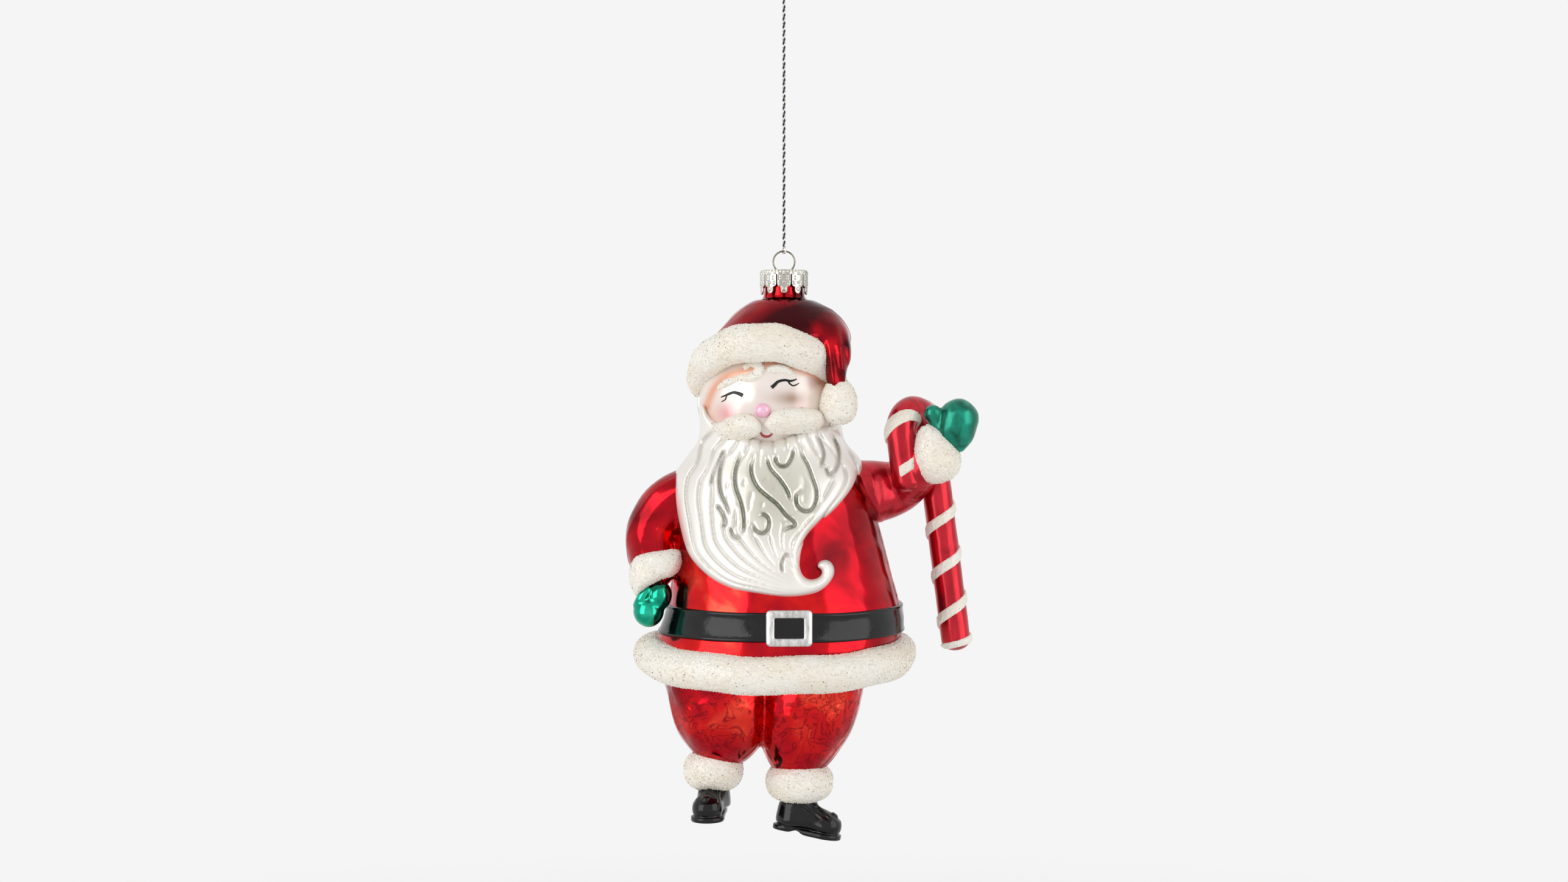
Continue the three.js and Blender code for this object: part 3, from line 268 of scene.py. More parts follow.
# A skin over the zero of a field: one point in each grid cell that the surface crosses, moved onto it
def skinField(field, low, high, step, rounds=3):
    low, high = np.asarray(low, dtype=float), np.asarray(high, dtype=float)
    counts = np.ceil((high - low) / step).astype(int) + 1
    axes = [low[k] + step * np.arange(counts[k]) for k in range(3)]
    values = np.empty(counts)
    for i, x in enumerate(axes[0]):
        y, z = np.meshgrid(axes[1], axes[2], indexing="ij")
        plane = np.stack([np.full(y.size, x), y.ravel(), z.ravel()], -1)
        values[i] = field(plane).reshape(y.shape)
    values[values == 0] = 1e-6
    cells = counts - 1
    total = np.zeros((cells.prod(), 3))
    number = np.zeros(cells.prod())
    quads = []
    for axis in range(3):
        first, second = [slice(None)] * 3, [slice(None)] * 3
        first[axis], second[axis] = slice(0, -1), slice(1, None)
        near, far = values[tuple(first)], values[tuple(second)]
        found = np.argwhere((near < 0) != (far < 0))
        a, b = near[tuple(found.T)], far[tuple(found.T)]
        place = low + step * found
        place[:, axis] += step * a / (a - b)
        u, v = (axis + 1) % 3, (axis + 2) % 3
        ring = []
        for du, dv in ((0, 0), (-1, 0), (-1, -1), (0, -1)):
            cell = found.copy()
            cell[:, u] += du
            cell[:, v] += dv
            cell = np.clip(cell, 0, cells - 1)
            flat = (cell[:, 0] * cells[1] + cell[:, 1]) * cells[2] + cell[:, 2]
            ring.append(flat)
            number += np.bincount(flat, minlength=len(number))
            for k in range(3):
                total[:, k] += np.bincount(flat, weights=place[:, k], minlength=len(number))
        quad = np.stack(ring, -1)
        quad[a > 0] = quad[a > 0][:, ::-1]
        quads.append(quad)
    used = number > 0
    points = total[used] / number[used][:, None]
    renumber = np.cumsum(used) - 1
    faces = renumber[np.concatenate(quads)]
    return settle(field, points, step, rounds), faces


def slopeOf(field, points, reach=0.06):
    slope = np.empty_like(points)
    for k in range(3):
        shift = np.zeros(3)
        shift[k] = reach
        slope[:, k] = (field(points + shift) - field(points - shift)) / (2 * reach)
    return slope


def settle(field, points, step, rounds):
    for _ in range(rounds):
        slope = slopeOf(field, points)
        move = slope * (field(points) / np.maximum((slope ** 2).sum(1), 0.2))[:, None]
        size = np.linalg.norm(move, axis=1)
        move *= np.minimum(1, 0.5 * step / np.maximum(size, 1e-9))[:, None]
        points = points - move
    return points


# Outlines as the camera sees them, at the depth of the figure's middle
def asSeen(p):
    nearer = viewDistance / (viewDistance + p[:, 1])
    return np.stack([p[:, 0] * nearer, viewHeight + (p[:, 2] - viewHeight) * nearer], -1)


# Distance from a spot of the seen plane, as a share of a reach across and up
def awayFrom(spots, x, height, across=1.0, up=1.0):
    return np.hypot((spots[:, 0] - x) / across, (spots[:, 1] - height) / up)


def distanceToLine(spots, line, closed=False):
    best = np.full(len(spots), 1e3)
    share = np.zeros(len(spots))
    ends = np.roll(line, -1, axis=0) if closed else line[1:]
    starts = line if closed else line[:-1]
    for i, (a, b) in enumerate(zip(starts, ends)):
        step = b - a
        t = limited((spots - a) @ step / max(step @ step, 1e-9))
        d = np.linalg.norm(spots - a - t[:, None] * step, axis=1)
        nearer = d < best
        best[nearer] = d[nearer]
        share[nearer] = (i + t[nearer]) / len(starts)
    return best, share


def insideOf(spots, line):
    inside = np.zeros(len(spots), dtype=bool)
    for a, b in zip(line, np.roll(line, -1, axis=0)):
        crosses = (a[1] > spots[:, 1]) != (b[1] > spots[:, 1])
        if a[1] != b[1]:
            inside ^= crosses & (spots[:, 0] < (b[0] - a[0]) * (spots[:, 1] - a[1]) / (b[1] - a[1]) + a[0])
    return inside


# A map of values over the seen plane that is looked up between its points
def seenMap(low, high, step, evaluate):
    x = np.arange(low[0], high[0] + step, step)
    z = np.arange(low[1], high[1] + step, step)
    spots = np.stack(np.meshgrid(x, z, indexing="ij"), -1).reshape(-1, 2)
    table = evaluate(spots).reshape(len(x), len(z))

    def lookUp(spots):
        place = np.clip((spots - np.asarray(low)) / step, 0, np.array(table.shape) - 1.001)
        k = place.astype(int)
        t = place - k
        i, j = k[:, 0], k[:, 1]
        near = table[i, j] * (1 - t[:, 0]) + table[i + 1, j] * t[:, 0]
        far = table[i, j + 1] * (1 - t[:, 0]) + table[i + 1, j + 1] * t[:, 0]
        return near * (1 - t[:, 1]) + far * t[:, 1]
    return lookUp


def outlineMap(outline, margin=3.0):
    line = smoothLine(outline, 160, closed=True)

    def evaluate(spots):
        distance = distanceToLine(spots, line, closed=True)[0]
        return np.where(insideOf(spots, line), -distance, distance)
    return seenMap(line.min(0) - margin, line.max(0) + margin, 0.2, evaluate)


# A raised pad on a carrier field, with an outline as seen and a rounded rim
def pad(carrier, outline, height, rim, back):
    seen = outlineMap(outline)

    def field(p):
        outside = seen(asSeen(p))
        rise = height * np.sqrt(limited(1 - (1 - limited(-outside / rim)) ** 2))
        base = carrier(p)
        return np.maximum(np.maximum(softMax(base - rise, outside, 0.6), -base - back), p[:, 1])
    return field


# Where a field is met on the way back from the camera through spots of the seen plane
def frontPoints(field, spots, lift=0.1):
    spots = np.asarray(spots, dtype=float)
    nearest, farthest, tries = -45.0, 0.0, 300

    def atDepth(y):
        scale = (viewDistance + y) / viewDistance
        return np.stack([spots[:, 0] * scale, y, viewHeight + (spots[:, 1] - viewHeight) * scale], -1)

    far = np.full(len(spots), farthest)
    waiting = np.ones(len(spots), dtype=bool)
    for y in np.linspace(nearest, farthest, tries):
        hit = waiting & (field(atDepth(np.full(len(spots), y))) < lift)
        far[hit] = y
        waiting &= ~hit
    near = far - (farthest - nearest) / (tries - 1)
    for _ in range(9):
        middle = (near + far) / 2
        hit = field(atDepth(middle)) < lift
        far, near = np.where(hit, middle, far), np.where(hit, near, middle)
    return atDepth(middle)


# Glass glitter: a crumbly bed with crystals stuck all over it
glitterGrains = {"bedCrumble": 0.08, "perSquareMm": 4.2, "smallest": 0.1, "largest": 0.22}


def glitterOver(points, faces, density=1.0, grains=glitterGrains):
    bed = toTriangles(faces) if faces.shape[1] == 4 else faces
    corners = points[bed]
    cross = np.cross(corners[:, 1] - corners[:, 0], corners[:, 2] - corners[:, 0])
    areas = np.linalg.norm(cross, axis=1) / 2
    normals = unit(cross)
    push = np.zeros_like(points)
    for k in range(3):
        np.add.at(push, bed[:, k], normals)
    pushed = points + unit(push) * (chance.random(len(points)) - 0.6)[:, None] * 2 * grains["bedCrumble"]
    pushed += (chance.random(points.shape) - 0.5) * grains["bedCrumble"]
    count = int(areas.sum() * grains["perSquareMm"] * density)
    picked = chance.choice(len(bed), size=count, p=areas / areas.sum())
    mix = chance.random((count, 2))
    mix = np.where(mix.sum(1, keepdims=True) > 1, 1 - mix, mix)
    seat = (corners[picked, 0] + mix[:, :1] * (corners[picked, 1] - corners[picked, 0])
            + mix[:, 1:] * (corners[picked, 2] - corners[picked, 0]))
    size = grains["smallest"] + (grains["largest"] - grains["smallest"]) * chance.random(count) ** 2
    seat = seat + normals[picked] * (size * 0.25)[:, None]
    axes = chance.normal(size=(count, 3, 3))
    first = unit(axes[:, 0])
    second = unit(axes[:, 1] - first * (axes[:, 1] * first).sum(1)[:, None])
    third = np.cross(first, second)
    tips = np.stack([first * 1.15, second, -first, -second * 0.9, third * 0.6, -third * 0.6], 1)
    crystals = seat[:, None] + tips * size[:, None, None]
    pattern = np.array([[0, 1, 4], [1, 2, 4], [2, 3, 4], [3, 0, 4], [1, 0, 5], [2, 1, 5], [3, 2, 5], [0, 3, 5]])
    loops = (np.arange(count)[:, None, None] * 6 + pattern).reshape(-1, 3)
    allPoints, allFaces = joinParts([(pushed, bed), (crystals.reshape(-1, 3), loops)])
    tone = np.concatenate([0.5 + 0.1 * chance.random(len(bed)), np.repeat(chance.random(count), 8)])
    return allPoints, allFaces, tone


def addGlitter(name, node, points, faces, density=1.0):
    points, faces, tone = glitterOver(points, faces, density)
    addMesh(name, points, faces, glassGlitter, node, flat=True, faceValues={"grain": tone})


# Finishes

# Silvered glass: a mirror coat inside and clear lacquer outside give deep reflections. Its colour runs from
# dark to bright along a value on the mesh: on the red shell that value is painted shade and painted reflection,
# placed spot by spot, and on the mitten a random tone. A random cloud of tone is added, and on crumpled glass
# dark lines of lacquer.
def silveredGlass(name, slot, colours, cloudSize):
    material, tree, shader, place, paintedLightAndTone, crumpled = newMaterial(name, slot, {
        "Metallic": 1.0, "Roughness": 0.14, "Coat Weight": 0.15, "Coat Roughness": 0.03}, "paintedLightAndTone", "crumple")
    cloud = addNode(tree, "TexNoise", {
        "Vector": place, "Scale": 1000 / cloudSize, "Detail": 3.0, "Distortion": 0.8})
    spread = addNode(tree, "MapRange", {"Value": cloud.outputs["Fac"], "To Min": -0.5, "To Max": 0.5})
    # painted reflection and painted shade, with random tone, pick the lacquer colour
    light = addNode(tree, "Math", {0: paintedLightAndTone, 1: spread.outputs["Result"]}, operation="ADD")
    marks = list(zip((0.0, 0.3, 0.6, 0.85, 1.0), colours))
    lacquerWithPaintedLight = addNode(tree, "ValToRGB", {"Fac": light.outputs["Value"]}, marks)
    lines = addNode(tree, "TexNoise", {"Vector": place, "Scale": 1000 / 5.5, "Detail": 2.0, "Distortion": 2.2})
    veins = addNode(tree, "ValToRGB", {"Fac": lines.outputs["Fac"]}, [(0.44, 0.0), (0.49, 0.8), (0.54, 0.0)])
    gathered = addNode(tree, "Math", {0: veins.outputs["Color"], 1: crumpled}, operation="MULTIPLY")
    addNode(tree, "Mix", {
        "Factor": gathered.outputs["Value"], "A": lacquerWithPaintedLight.outputs["Color"], "B": colourOf(colours[1])},
        into={"Result": shader.inputs["Base Color"]}, data_type="RGBA")
    waves = addNode(tree, "TexNoise", {"Vector": place, "Scale": 1000 / 6.5, "Detail": 1.5, "Distortion": 0.5})
    depth = addNode(tree, "MapRange", {"Value": crumpled, "To Min": 0.07, "To Max": 0.8})
    addNode(tree, "Bump", {
        "Height": waves.outputs["Fac"], "Strength": depth.outputs["Result"], "Distance": 0.0012},
        into={"Normal": shader.inputs["Normal"]})
    return material


# Lacquer over thin silvering: the brush leaves streaks and the glass shows less of a mirror
def streakedGlass(name, slot, bright, dark, streak):
    material, tree, shader, place = newMaterial(name, slot, {
        "Metallic": 0.75, "Roughness": 0.26, "Coat Weight": 0.2, "Coat Roughness": 0.06})
    pulled = addNode(tree, "Mapping", {"Vector": place, "Scale": streak})
    cloud = addNode(tree, "TexNoise", {
        "Vector": pulled.outputs["Vector"], "Scale": 1000 / 3.0, "Detail": 4.0, "Distortion": 0.6})
    addNode(tree, "ValToRGB", {"Fac": cloud.outputs["Fac"]}, [(0.32, dark), (0.68, bright)],
            into={"Color": shader.inputs["Base Color"]})
    addNode(tree, "Bump", {"Height": cloud.outputs["Fac"], "Strength": 0.1, "Distance": 0.0006},
            into={"Normal": shader.inputs["Normal"]})
    return material


redGlass = silveredGlass(
    "silvered_red_glass", "red_glass", ("#3E030A", "#7F0612", "#B50C1D", "#D91C1C", "#EC4230"), 11.0)
greenGlass = silveredGlass(
    "silvered_green_glass", "green_glass", ("#01382A", "#06664E", "#12A081", "#2FBE9A", "#6FDCC0"), 5.0)
redStreaks = streakedGlass("streaked_red_lacquer", "red_glass", "#CE1E30", "#A30D1E", (1.0, 1.0, 0.35))
greenStreaks = streakedGlass("streaked_green_lacquer", "green_glass", "#0F967C", "#045442", (1.0, 1.0, 0.4))


# Clear glass grit on white glue: near white, with a few dark and bright glints
def grit(name, slot):
    material, tree, shader, place, grain = newMaterial(name, slot, {
        "Roughness": 0.3, "IOR": 1.52, "Coat Weight": 0.3, "Coat Roughness": 0.1}, "grain")
    colour = addNode(tree, "ValToRGB", {"Fac": grain}, [
        (0.0, "#4E453B"), (0.03, "#8E877C"), (0.05, "#EDEAE3"), (0.5, "#F8F5EF"), (0.9, "#FBF9F4"),
        (0.97, "#FFFFFF")])
    cloud = addNode(tree, "TexNoise", {"Vector": place, "Scale": 1000 / 9.0, "Detail": 2.0})
    warm = addNode(tree, "ValToRGB", {"Fac": cloud.outputs["Fac"]}, [(0.35, "#FFFEFB"), (0.7, "#FBF5EA")])
    addNode(tree, "Mix", {"Factor": 1.0, "A": colour.outputs["Color"], "B": warm.outputs["Color"]},
            into={"Result": shader.inputs["Base Color"]}, data_type="RGBA", blend_type="MULTIPLY")
    return material


glassGlitter = grit("glass_glitter_on_glue", "glass_glitter")


# Pearl paint over silvering: satin white, bare silver in a middle zone, and the carved lines darkened grey-green as
# painted shade
def pearlPaint(name, slot):
    material, tree, shader, place, bare, paintedShadeInGrooves = newMaterial(
        name, slot, {"Coat Weight": 0.4, "Coat Roughness": 0.12}, "bare", "paintedShadeInGrooves")
    cloud = addNode(tree, "TexNoise", {"Vector": place, "Scale": 1000 / 12.0, "Detail": 2.0})
    paint = addNode(tree, "ValToRGB", {"Fac": cloud.outputs["Fac"]}, [(0.35, "#EFEAE3"), (0.65, "#F7F3ED")])
    silver = addNode(tree, "Mix", {"Factor": bare, "A": paint.outputs["Color"], "B": colourOf("#C6C4B2")},
                     data_type="RGBA")
    # painted shade in the carved lines
    addNode(tree, "Mix", {"Factor": paintedShadeInGrooves, "A": silver.outputs["Result"], "B": colourOf("#6F7464")},
            into={"Result": shader.inputs["Base Color"]}, data_type="RGBA")
    for socket, painted, polished in (("Metallic", 0.25, 0.8), ("Roughness", 0.36, 0.2)):
        addNode(tree, "ValToRGB", {"Fac": bare}, [(0.0, painted), (1.0, polished)],
                into={"Color": shader.inputs[socket]})
    return material


pearlWhite = pearlPaint("pearl_white_paint", "pearl_white")


# Skin paint: pale pearl, sprayed peach at the edges, rose on the cheeks, and brown painted shade under the right eye
# and by the face's right edge
def skinPaint(name, slot):
    material, tree, shader, place, peach, rose, tan = newMaterial(name, slot, {
        "Roughness": 0.34, "Metallic": 0.2, "Coat Weight": 0.5, "Coat Roughness": 0.1}, "peach", "rose", "tan")
    ground = addNode(tree, "ValToRGB", {"Fac": peach}, [(0.0, "#F2E7E0"), (0.5, "#F2D4C4"), (1.0, "#EDAE92")])
    blushed = addNode(tree, "Mix", {"Factor": rose, "A": ground.outputs["Color"], "B": colourOf("#EE9DA2")},
                      data_type="RGBA")
    addNode(tree, "Mix", {"Factor": tan, "A": blushed.outputs["Result"], "B": colourOf("#9C6F50")},
            into={"Result": shader.inputs["Base Color"]}, data_type="RGBA")
    return material


pearlSkin = skinPaint("pearl_skin_paint", "pearl_skin")


# A plain lacquer or metal with a fine cloud in its shade and its gloss, and where wanted a fine relief
def plainFinish(name, slot, bright, dark, size, surface, gloss, bumpDepth=0.0, stretch=(1, 1, 1)):
    material, tree, shader, place = newMaterial(name, slot, surface)
    pulled = addNode(tree, "Mapping", {"Vector": place, "Scale": stretch})
    cloud = addNode(tree, "TexNoise", {"Vector": pulled.outputs["Vector"], "Scale": 1000 / size, "Detail": 4.0})
    for socket, low, high in (("Base Color", dark, bright), ("Roughness", *gloss)):
        addNode(tree, "ValToRGB", {"Fac": cloud.outputs["Fac"]}, [(0.3, low), (0.7, high)],
                into={"Color": shader.inputs[socket]})
    if bumpDepth:
        addNode(tree, "Bump", {
            "Height": cloud.outputs["Fac"], "Strength": 0.5, "Distance": bumpDepth * 0.001},
            into={"Normal": shader.inputs["Normal"]})
    return material


# Deep black with sharp, small reflections
blackLacquer = plainFinish(
    "black_gloss_lacquer", "black_gloss", "#0C0B0D", "#040405", 2.5, {"Specular IOR Level": 0.36}, (0.07, 0.2), 0.14)
# A soft pink sheen with one clear highlight
pinkPearl = plainFinish(
    "pink_pearl_paint", "pink_pearl", "#FBC9E2", "#F8B4CC", 2.0, {"Metallic": 0.2, "Coat Weight": 0.6}, (0.2, 0.28))
# Pale grey metal with brush marks across it
silverPaint = plainFinish(
    "brushed_silver_paint", "silver_paint", "#E3E2E0", "#B4B2AF", 0.5, {"Metallic": 0.75}, (0.26, 0.45),
    bumpDepth=0.06, stretch=(1, 1, 0.12))
# Bright sheet metal, warm, with broad upright bands painted darker as painted reflections
nickelPlate = plainFinish(
    "nickel_plated_sheet", "nickel_plate", "#E2DFD8", "#8D897F", 5.0, {"Metallic": 1.0}, (0.1, 0.22),
    bumpDepth=0.02, stretch=(1, 1, 0.2))
# A darker, brownish metal gleam
springWire = plainFinish(
    "nickel_plated_wire", "spring_wire", "#A0978C", "#6F675D", 1.0, {"Metallic": 1.0}, (0.16, 0.26))
# Glossy red for the mouth
redPaint = plainFinish(
    "red_lip_paint", "red_glass", "#B80E1C", "#9A0815", 1.0, {"Coat Weight": 0.8}, (0.2, 0.3))


# Metallic thread: one bright and one dark strand of foil yarn, with the foil's edges as fine rings
def foilThread(name, slot):
    material, tree, shader, place, strand = newMaterial(name, slot, {"Metallic": 0.75, "Roughness": 0.34}, "strand")
    yarn = addNode(tree, "ValToRGB", {"Fac": strand}, [(0.3, "#EDEBE6"), (0.7, "#4B4641")])
    turns = addNode(tree, "TexNoise", {"Vector": place, "Scale": 1000 / 0.4, "Detail": 2.0})
    shade = addNode(tree, "ValToRGB", {"Fac": turns.outputs["Fac"]}, [(0.35, "#9C9A96"), (0.6, "#FFFFFF")])
    addNode(tree, "Mix", {"Factor": 1.0, "A": yarn.outputs["Color"], "B": shade.outputs["Color"]},
            into={"Result": shader.inputs["Base Color"]}, data_type="RGBA", blend_type="MULTIPLY")
    addNode(tree, "Bump", {"Height": turns.outputs["Fac"], "Strength": 0.5, "Distance": 0.00005},
            into={"Normal": shader.inputs["Normal"]})
    return material


silverThread = foilThread("silver_and_dark_metallic_thread", "metallic_thread")
print("finishes ready")


# Hanging cord: two metallic threads twisted together, straight under the figure's weight
cordSizes = {
    "foot": 153.205, "length": 66.0, "threadRadius": 0.2, "twistRadius": 0.21, "twistPitch": 2.1,
    "knotGap": 0.3, "knotHeight": 1.9, "knotThread": 0.3, "loopGap": 0.5, "loopHalfWidth": 3.0, "loopThread": 0.11,
    "loopTwist": 0.09, "loopTurns": 12, "ringTop": 151.93, "hitchReach": 0.575, "hitchTurn": 40}
knotFoot = cordSizes["foot"] + cordSizes["length"] + cordSizes["knotGap"]


def twistedPair(centre, angle, first, second, reach, thread, closed=False):
    strands = []
    for turn in (angle[:, None], angle[:, None] + np.pi):
        line = centre + reach * (np.cos(turn) * first + np.sin(turn) * second)
        strands.append(tube(line, thread, sides=8, closed=closed))
    return joinParts(strands)


def hangingCord(sizes=cordSizes):
    height = np.linspace(0, sizes["length"], 420)
    centre = np.column_stack([0 * height, 0 * height, sizes["foot"] + height])
    points, faces = twistedPair(centre, 2 * np.pi * height / sizes["twistPitch"], np.array([1, 0, 0]),
                                np.array([0, 1, 0]), sizes["twistRadius"], sizes["threadRadius"])
    piece = addMesh("twisted_cord", points, faces, silverThread, "hanging_cord", "cord",
                    pointValues={"strand": np.arange(len(points)) >= len(points) / 2})
    route = toFrame([[0, 0, sizes["foot"] + h] for h in np.linspace(0, sizes["length"], 40)])


def cordKnot(sizes=cordSizes):
    turn = np.linspace(0, 2 * np.pi, 90, endpoint=False)
    line = np.stack([np.sin(turn) + 2 * np.sin(2 * turn), np.cos(turn) - 2 * np.cos(2 * turn), -np.sin(3 * turn)], -1)
    line = line * [0.2, 0.2, 0.42] + [0, 0, knotFoot + sizes["knotHeight"] / 2]
    addMesh("overhand_knot", *tube(line, sizes["knotThread"], sides=10, side=(0.3, 0.2, 1), closed=True),
            silverThread, "cord_knot", "loop")


def hangingLoop(sizes=cordSizes):
    foot = knotFoot + sizes["knotHeight"] + sizes["loopGap"]
    height, half = loopTopHeight - 0.2 - foot, sizes["loopHalfWidth"]
    knots = [(0, 0), (-0.7, 0.35), (-1, 0.68), (0, 1), (1, 0.68), (0.7, 0.35)]
    centre = smoothLine([[half * across, 0, foot + height * up] for across, up in knots], 240, closed=True)
    angle = np.linspace(0, 2 * np.pi * sizes["loopTurns"], 240, endpoint=False)
    out = np.array([0, 1.0, 0])
    side = unit(np.cross(np.roll(centre, -1, axis=0) - np.roll(centre, 1, axis=0), out))
    addMesh("thread_loop", *twistedPair(centre, angle, out, side, sizes["loopTwist"], sizes["loopThread"], True),
            silverThread, "hanging_loop", "loop")


def cordHitch(sizes=cordSizes):
    reach, turn = sizes["hitchReach"], math.radians(sizes["hitchTurn"])
    out = np.array([math.sin(turn), -math.cos(turn), 0])
    stations = [(0.05, 1.15), (0.35, 0.8), (reach, 0.25), (reach * 0.75, -reach * 0.75), (0, -reach),
                (-reach * 0.75, -reach * 0.75), (-reach, 0.25), (-0.35, 0.8), (-0.05, 1.15)]
    line = smoothLine([out * across + [0, 0, sizes["ringTop"] + up] for across, up in stations], 60)
    addMesh("cord_bight", *tube(line, sizes["threadRadius"], sides=10, side=(0.64, 0.77, 0)), silverThread,
            "cord_hitch", "hitch")


hangingCord()
cordKnot()
hangingLoop()
cordHitch()
print("cord made")


# Blown shell: coat, head, hat and legs in one piece of silvered glass
# Rows are height, centre x, centre y, half width and half depth
glassSizes = {
    "coat": [
        (42.8, -2.4, 0, 22.6, 17), (44.3, -2.4, 0, 28.6, 23), (48.2, -2.4, 0, 31.6, 26), (57.5, 0, 0, 30.4, 25.2),
        (68.75, -0.6, 0, 28.4, 24), (80, -1.5, 0, 26.4, 21.8), (89.5, -2.4, 0, 24.5, 19.5), (97, -3, 0, 20.6, 16.2),
        (103.4, -3, 0, 12, 11), (106.6, -3, 0, 6, 5.5)],
    "hat": [
        (115, -3.8, 0, 14.2, 12.2), (120.85, -3.8, 0, 15, 12.9), (125.56, -3.04, 0, 18.2, 15.65),
        (128.7, -0.95, 0, 18.2, 15.65), (131.75, 0, 0, 16.5, 14.2), (136.14, 0, 0, 12.36, 10.6),
        (138.97, 0, 0, 8.16, 7.4), (139.6, 0, 0, 5.76, 5.7), (141, 0, 0, 5.16, 5.16), (146.2, 0, 0, 5.16, 5.16)],
    "headCentre": (-3.8, 0, 113), "headRadii": (17.2, 15.8, 18),
    "tail": [(8.9, -3, 130.3, 6.9), (12.3, -8.6, 127.2, 4.8), (13.3, -11.8, 123.3, 3.4), (13.1, -12.6, 118.0, 2.3)],
    "leftLeg": [(-16.8, 0, 41.3, 14.0), (-15.7, 0, 33.3, 12.9), (-15.85, 0, 26.4, 8.5), (-18.2, 0, 23.2, 5.4)],
    "rightLeg": [(6.8, 0, 41.3, 14.0), (5.7, 0, 33.3, 12.9), (3.75, 0, 23.4, 8.5), (4, 0, 20.2, 5.4)],
    "sleeve": [
        (-22.1, 1, 89.4, 7.6), (-29.5, 1, 86.2, 7.2), (-34.2, 0, 80, 6.5), (-34.4, -3, 74.5, 6.1),
        (-33.2, -7.5, 70, 5.2)],
    "coatRipple": 0.1, "legRipple": 0.25, "seamHeight": 0.16, "seamDepth": -4.0, "step": 0.75}

coat = levels(glassSizes["coat"])
hat = levels(glassSizes["hat"])
head = ball(glassSizes["headCentre"], glassSizes["headRadii"])
tail = limb(glassSizes["tail"])
leftLeg = limb(glassSizes["leftLeg"])
rightLeg = limb(glassSizes["rightLeg"])
sleeve = limb(glassSizes["sleeve"])


def shellField(p, sizes=glassSizes):
    x, y, z = p.T
    folds = 0.35 * np.cos((x + 0.15 * (z - 124)) * 2.4) * bell(x - 13.5, 4) * limited((133 - z) / 5) * (z > 110)
    body = softMin(softMin(coat(p), head(p), 5.0), softMin(hat(p), tail(p) + folds, 2.5), 1.5)
    crease = bell(x + 5.2 - 0.03 * (z - 30), 0.5) * (y < 0) * (z < 40)
    legs = softMin(leftLeg(p), rightLeg(p), 1.2) + sizes["legRipple"] * ripple(p, 9.0, 3) * (z < 46) + 0.25 * crease
    body = softMin(softMin(body, legs, 3.0), sleeve(p), 0.8)
    seam = sizes["seamHeight"] * bell(y - sizes["seamDepth"], 0.45)
    return body + (sizes["coatRipple"] * ripple(p, 8.0, 5) - seam) * (z < 138)


shellPoints, shellFaces = skinField(shellField, (-46, -30, 15), (36, 30, 147), glassSizes["step"])


# Painted light and shade on the red shell, standing in for reflections of a dark ceiling and a bright floor: x,
# height, reach and amount, as seen from the front
paintedLightSpots = [
    (3, 135, 10, -0.8), (-10, 132, 5, -0.1), (12, 127, 2.2, 0.45), (16.6, 128, 1.8, -0.6), (14, 122, 4, -0.3),
    (9, 131.5, 2.0, 0.5), (15.5, 120, 1.2, -0.4), (0, 142, 5, 0.5), (-13, 62.5, 10, 0.3), (3, 61.5, 8, 0.12),
    (-26, 66, 4, 0.3), (20, 82, 10, -0.22), (12, 72, 6, -0.25), (-34, 80, 4, 0.15), (-38, 84, 5, -0.25),
    (-24, 91, 6, -0.4), (-20, 52, 8, 0.25), (8, 52.5, 8, 0.15), (-12, 31, 10, 0.32), (8, 33, 11, 0.38)]


def paintedLightOnShell(points):
    seen = asSeen(points)
    # a random tone, plus painted reflection and painted shade spot by spot
    shellLightAndTone = 0.56 + 0.1 * ripple(points, 14.0, 61)
    for x, height, reach, amount in paintedLightSpots:
        shellLightAndTone += amount * bell(awayFrom(seen, x, height), reach)
    return shellLightAndTone


# The shell's colour carries painted reflection and painted shade; the trousers are crumpled
addMesh("blown_glass_shell", shellPoints, shellFaces, redGlass, "figure_glass", pointValues={
    "paintedLightAndTone": paintedLightOnShell(shellPoints), "crumple": limited((44 - shellPoints[:, 2]) / 4)})
print("glass shell made")


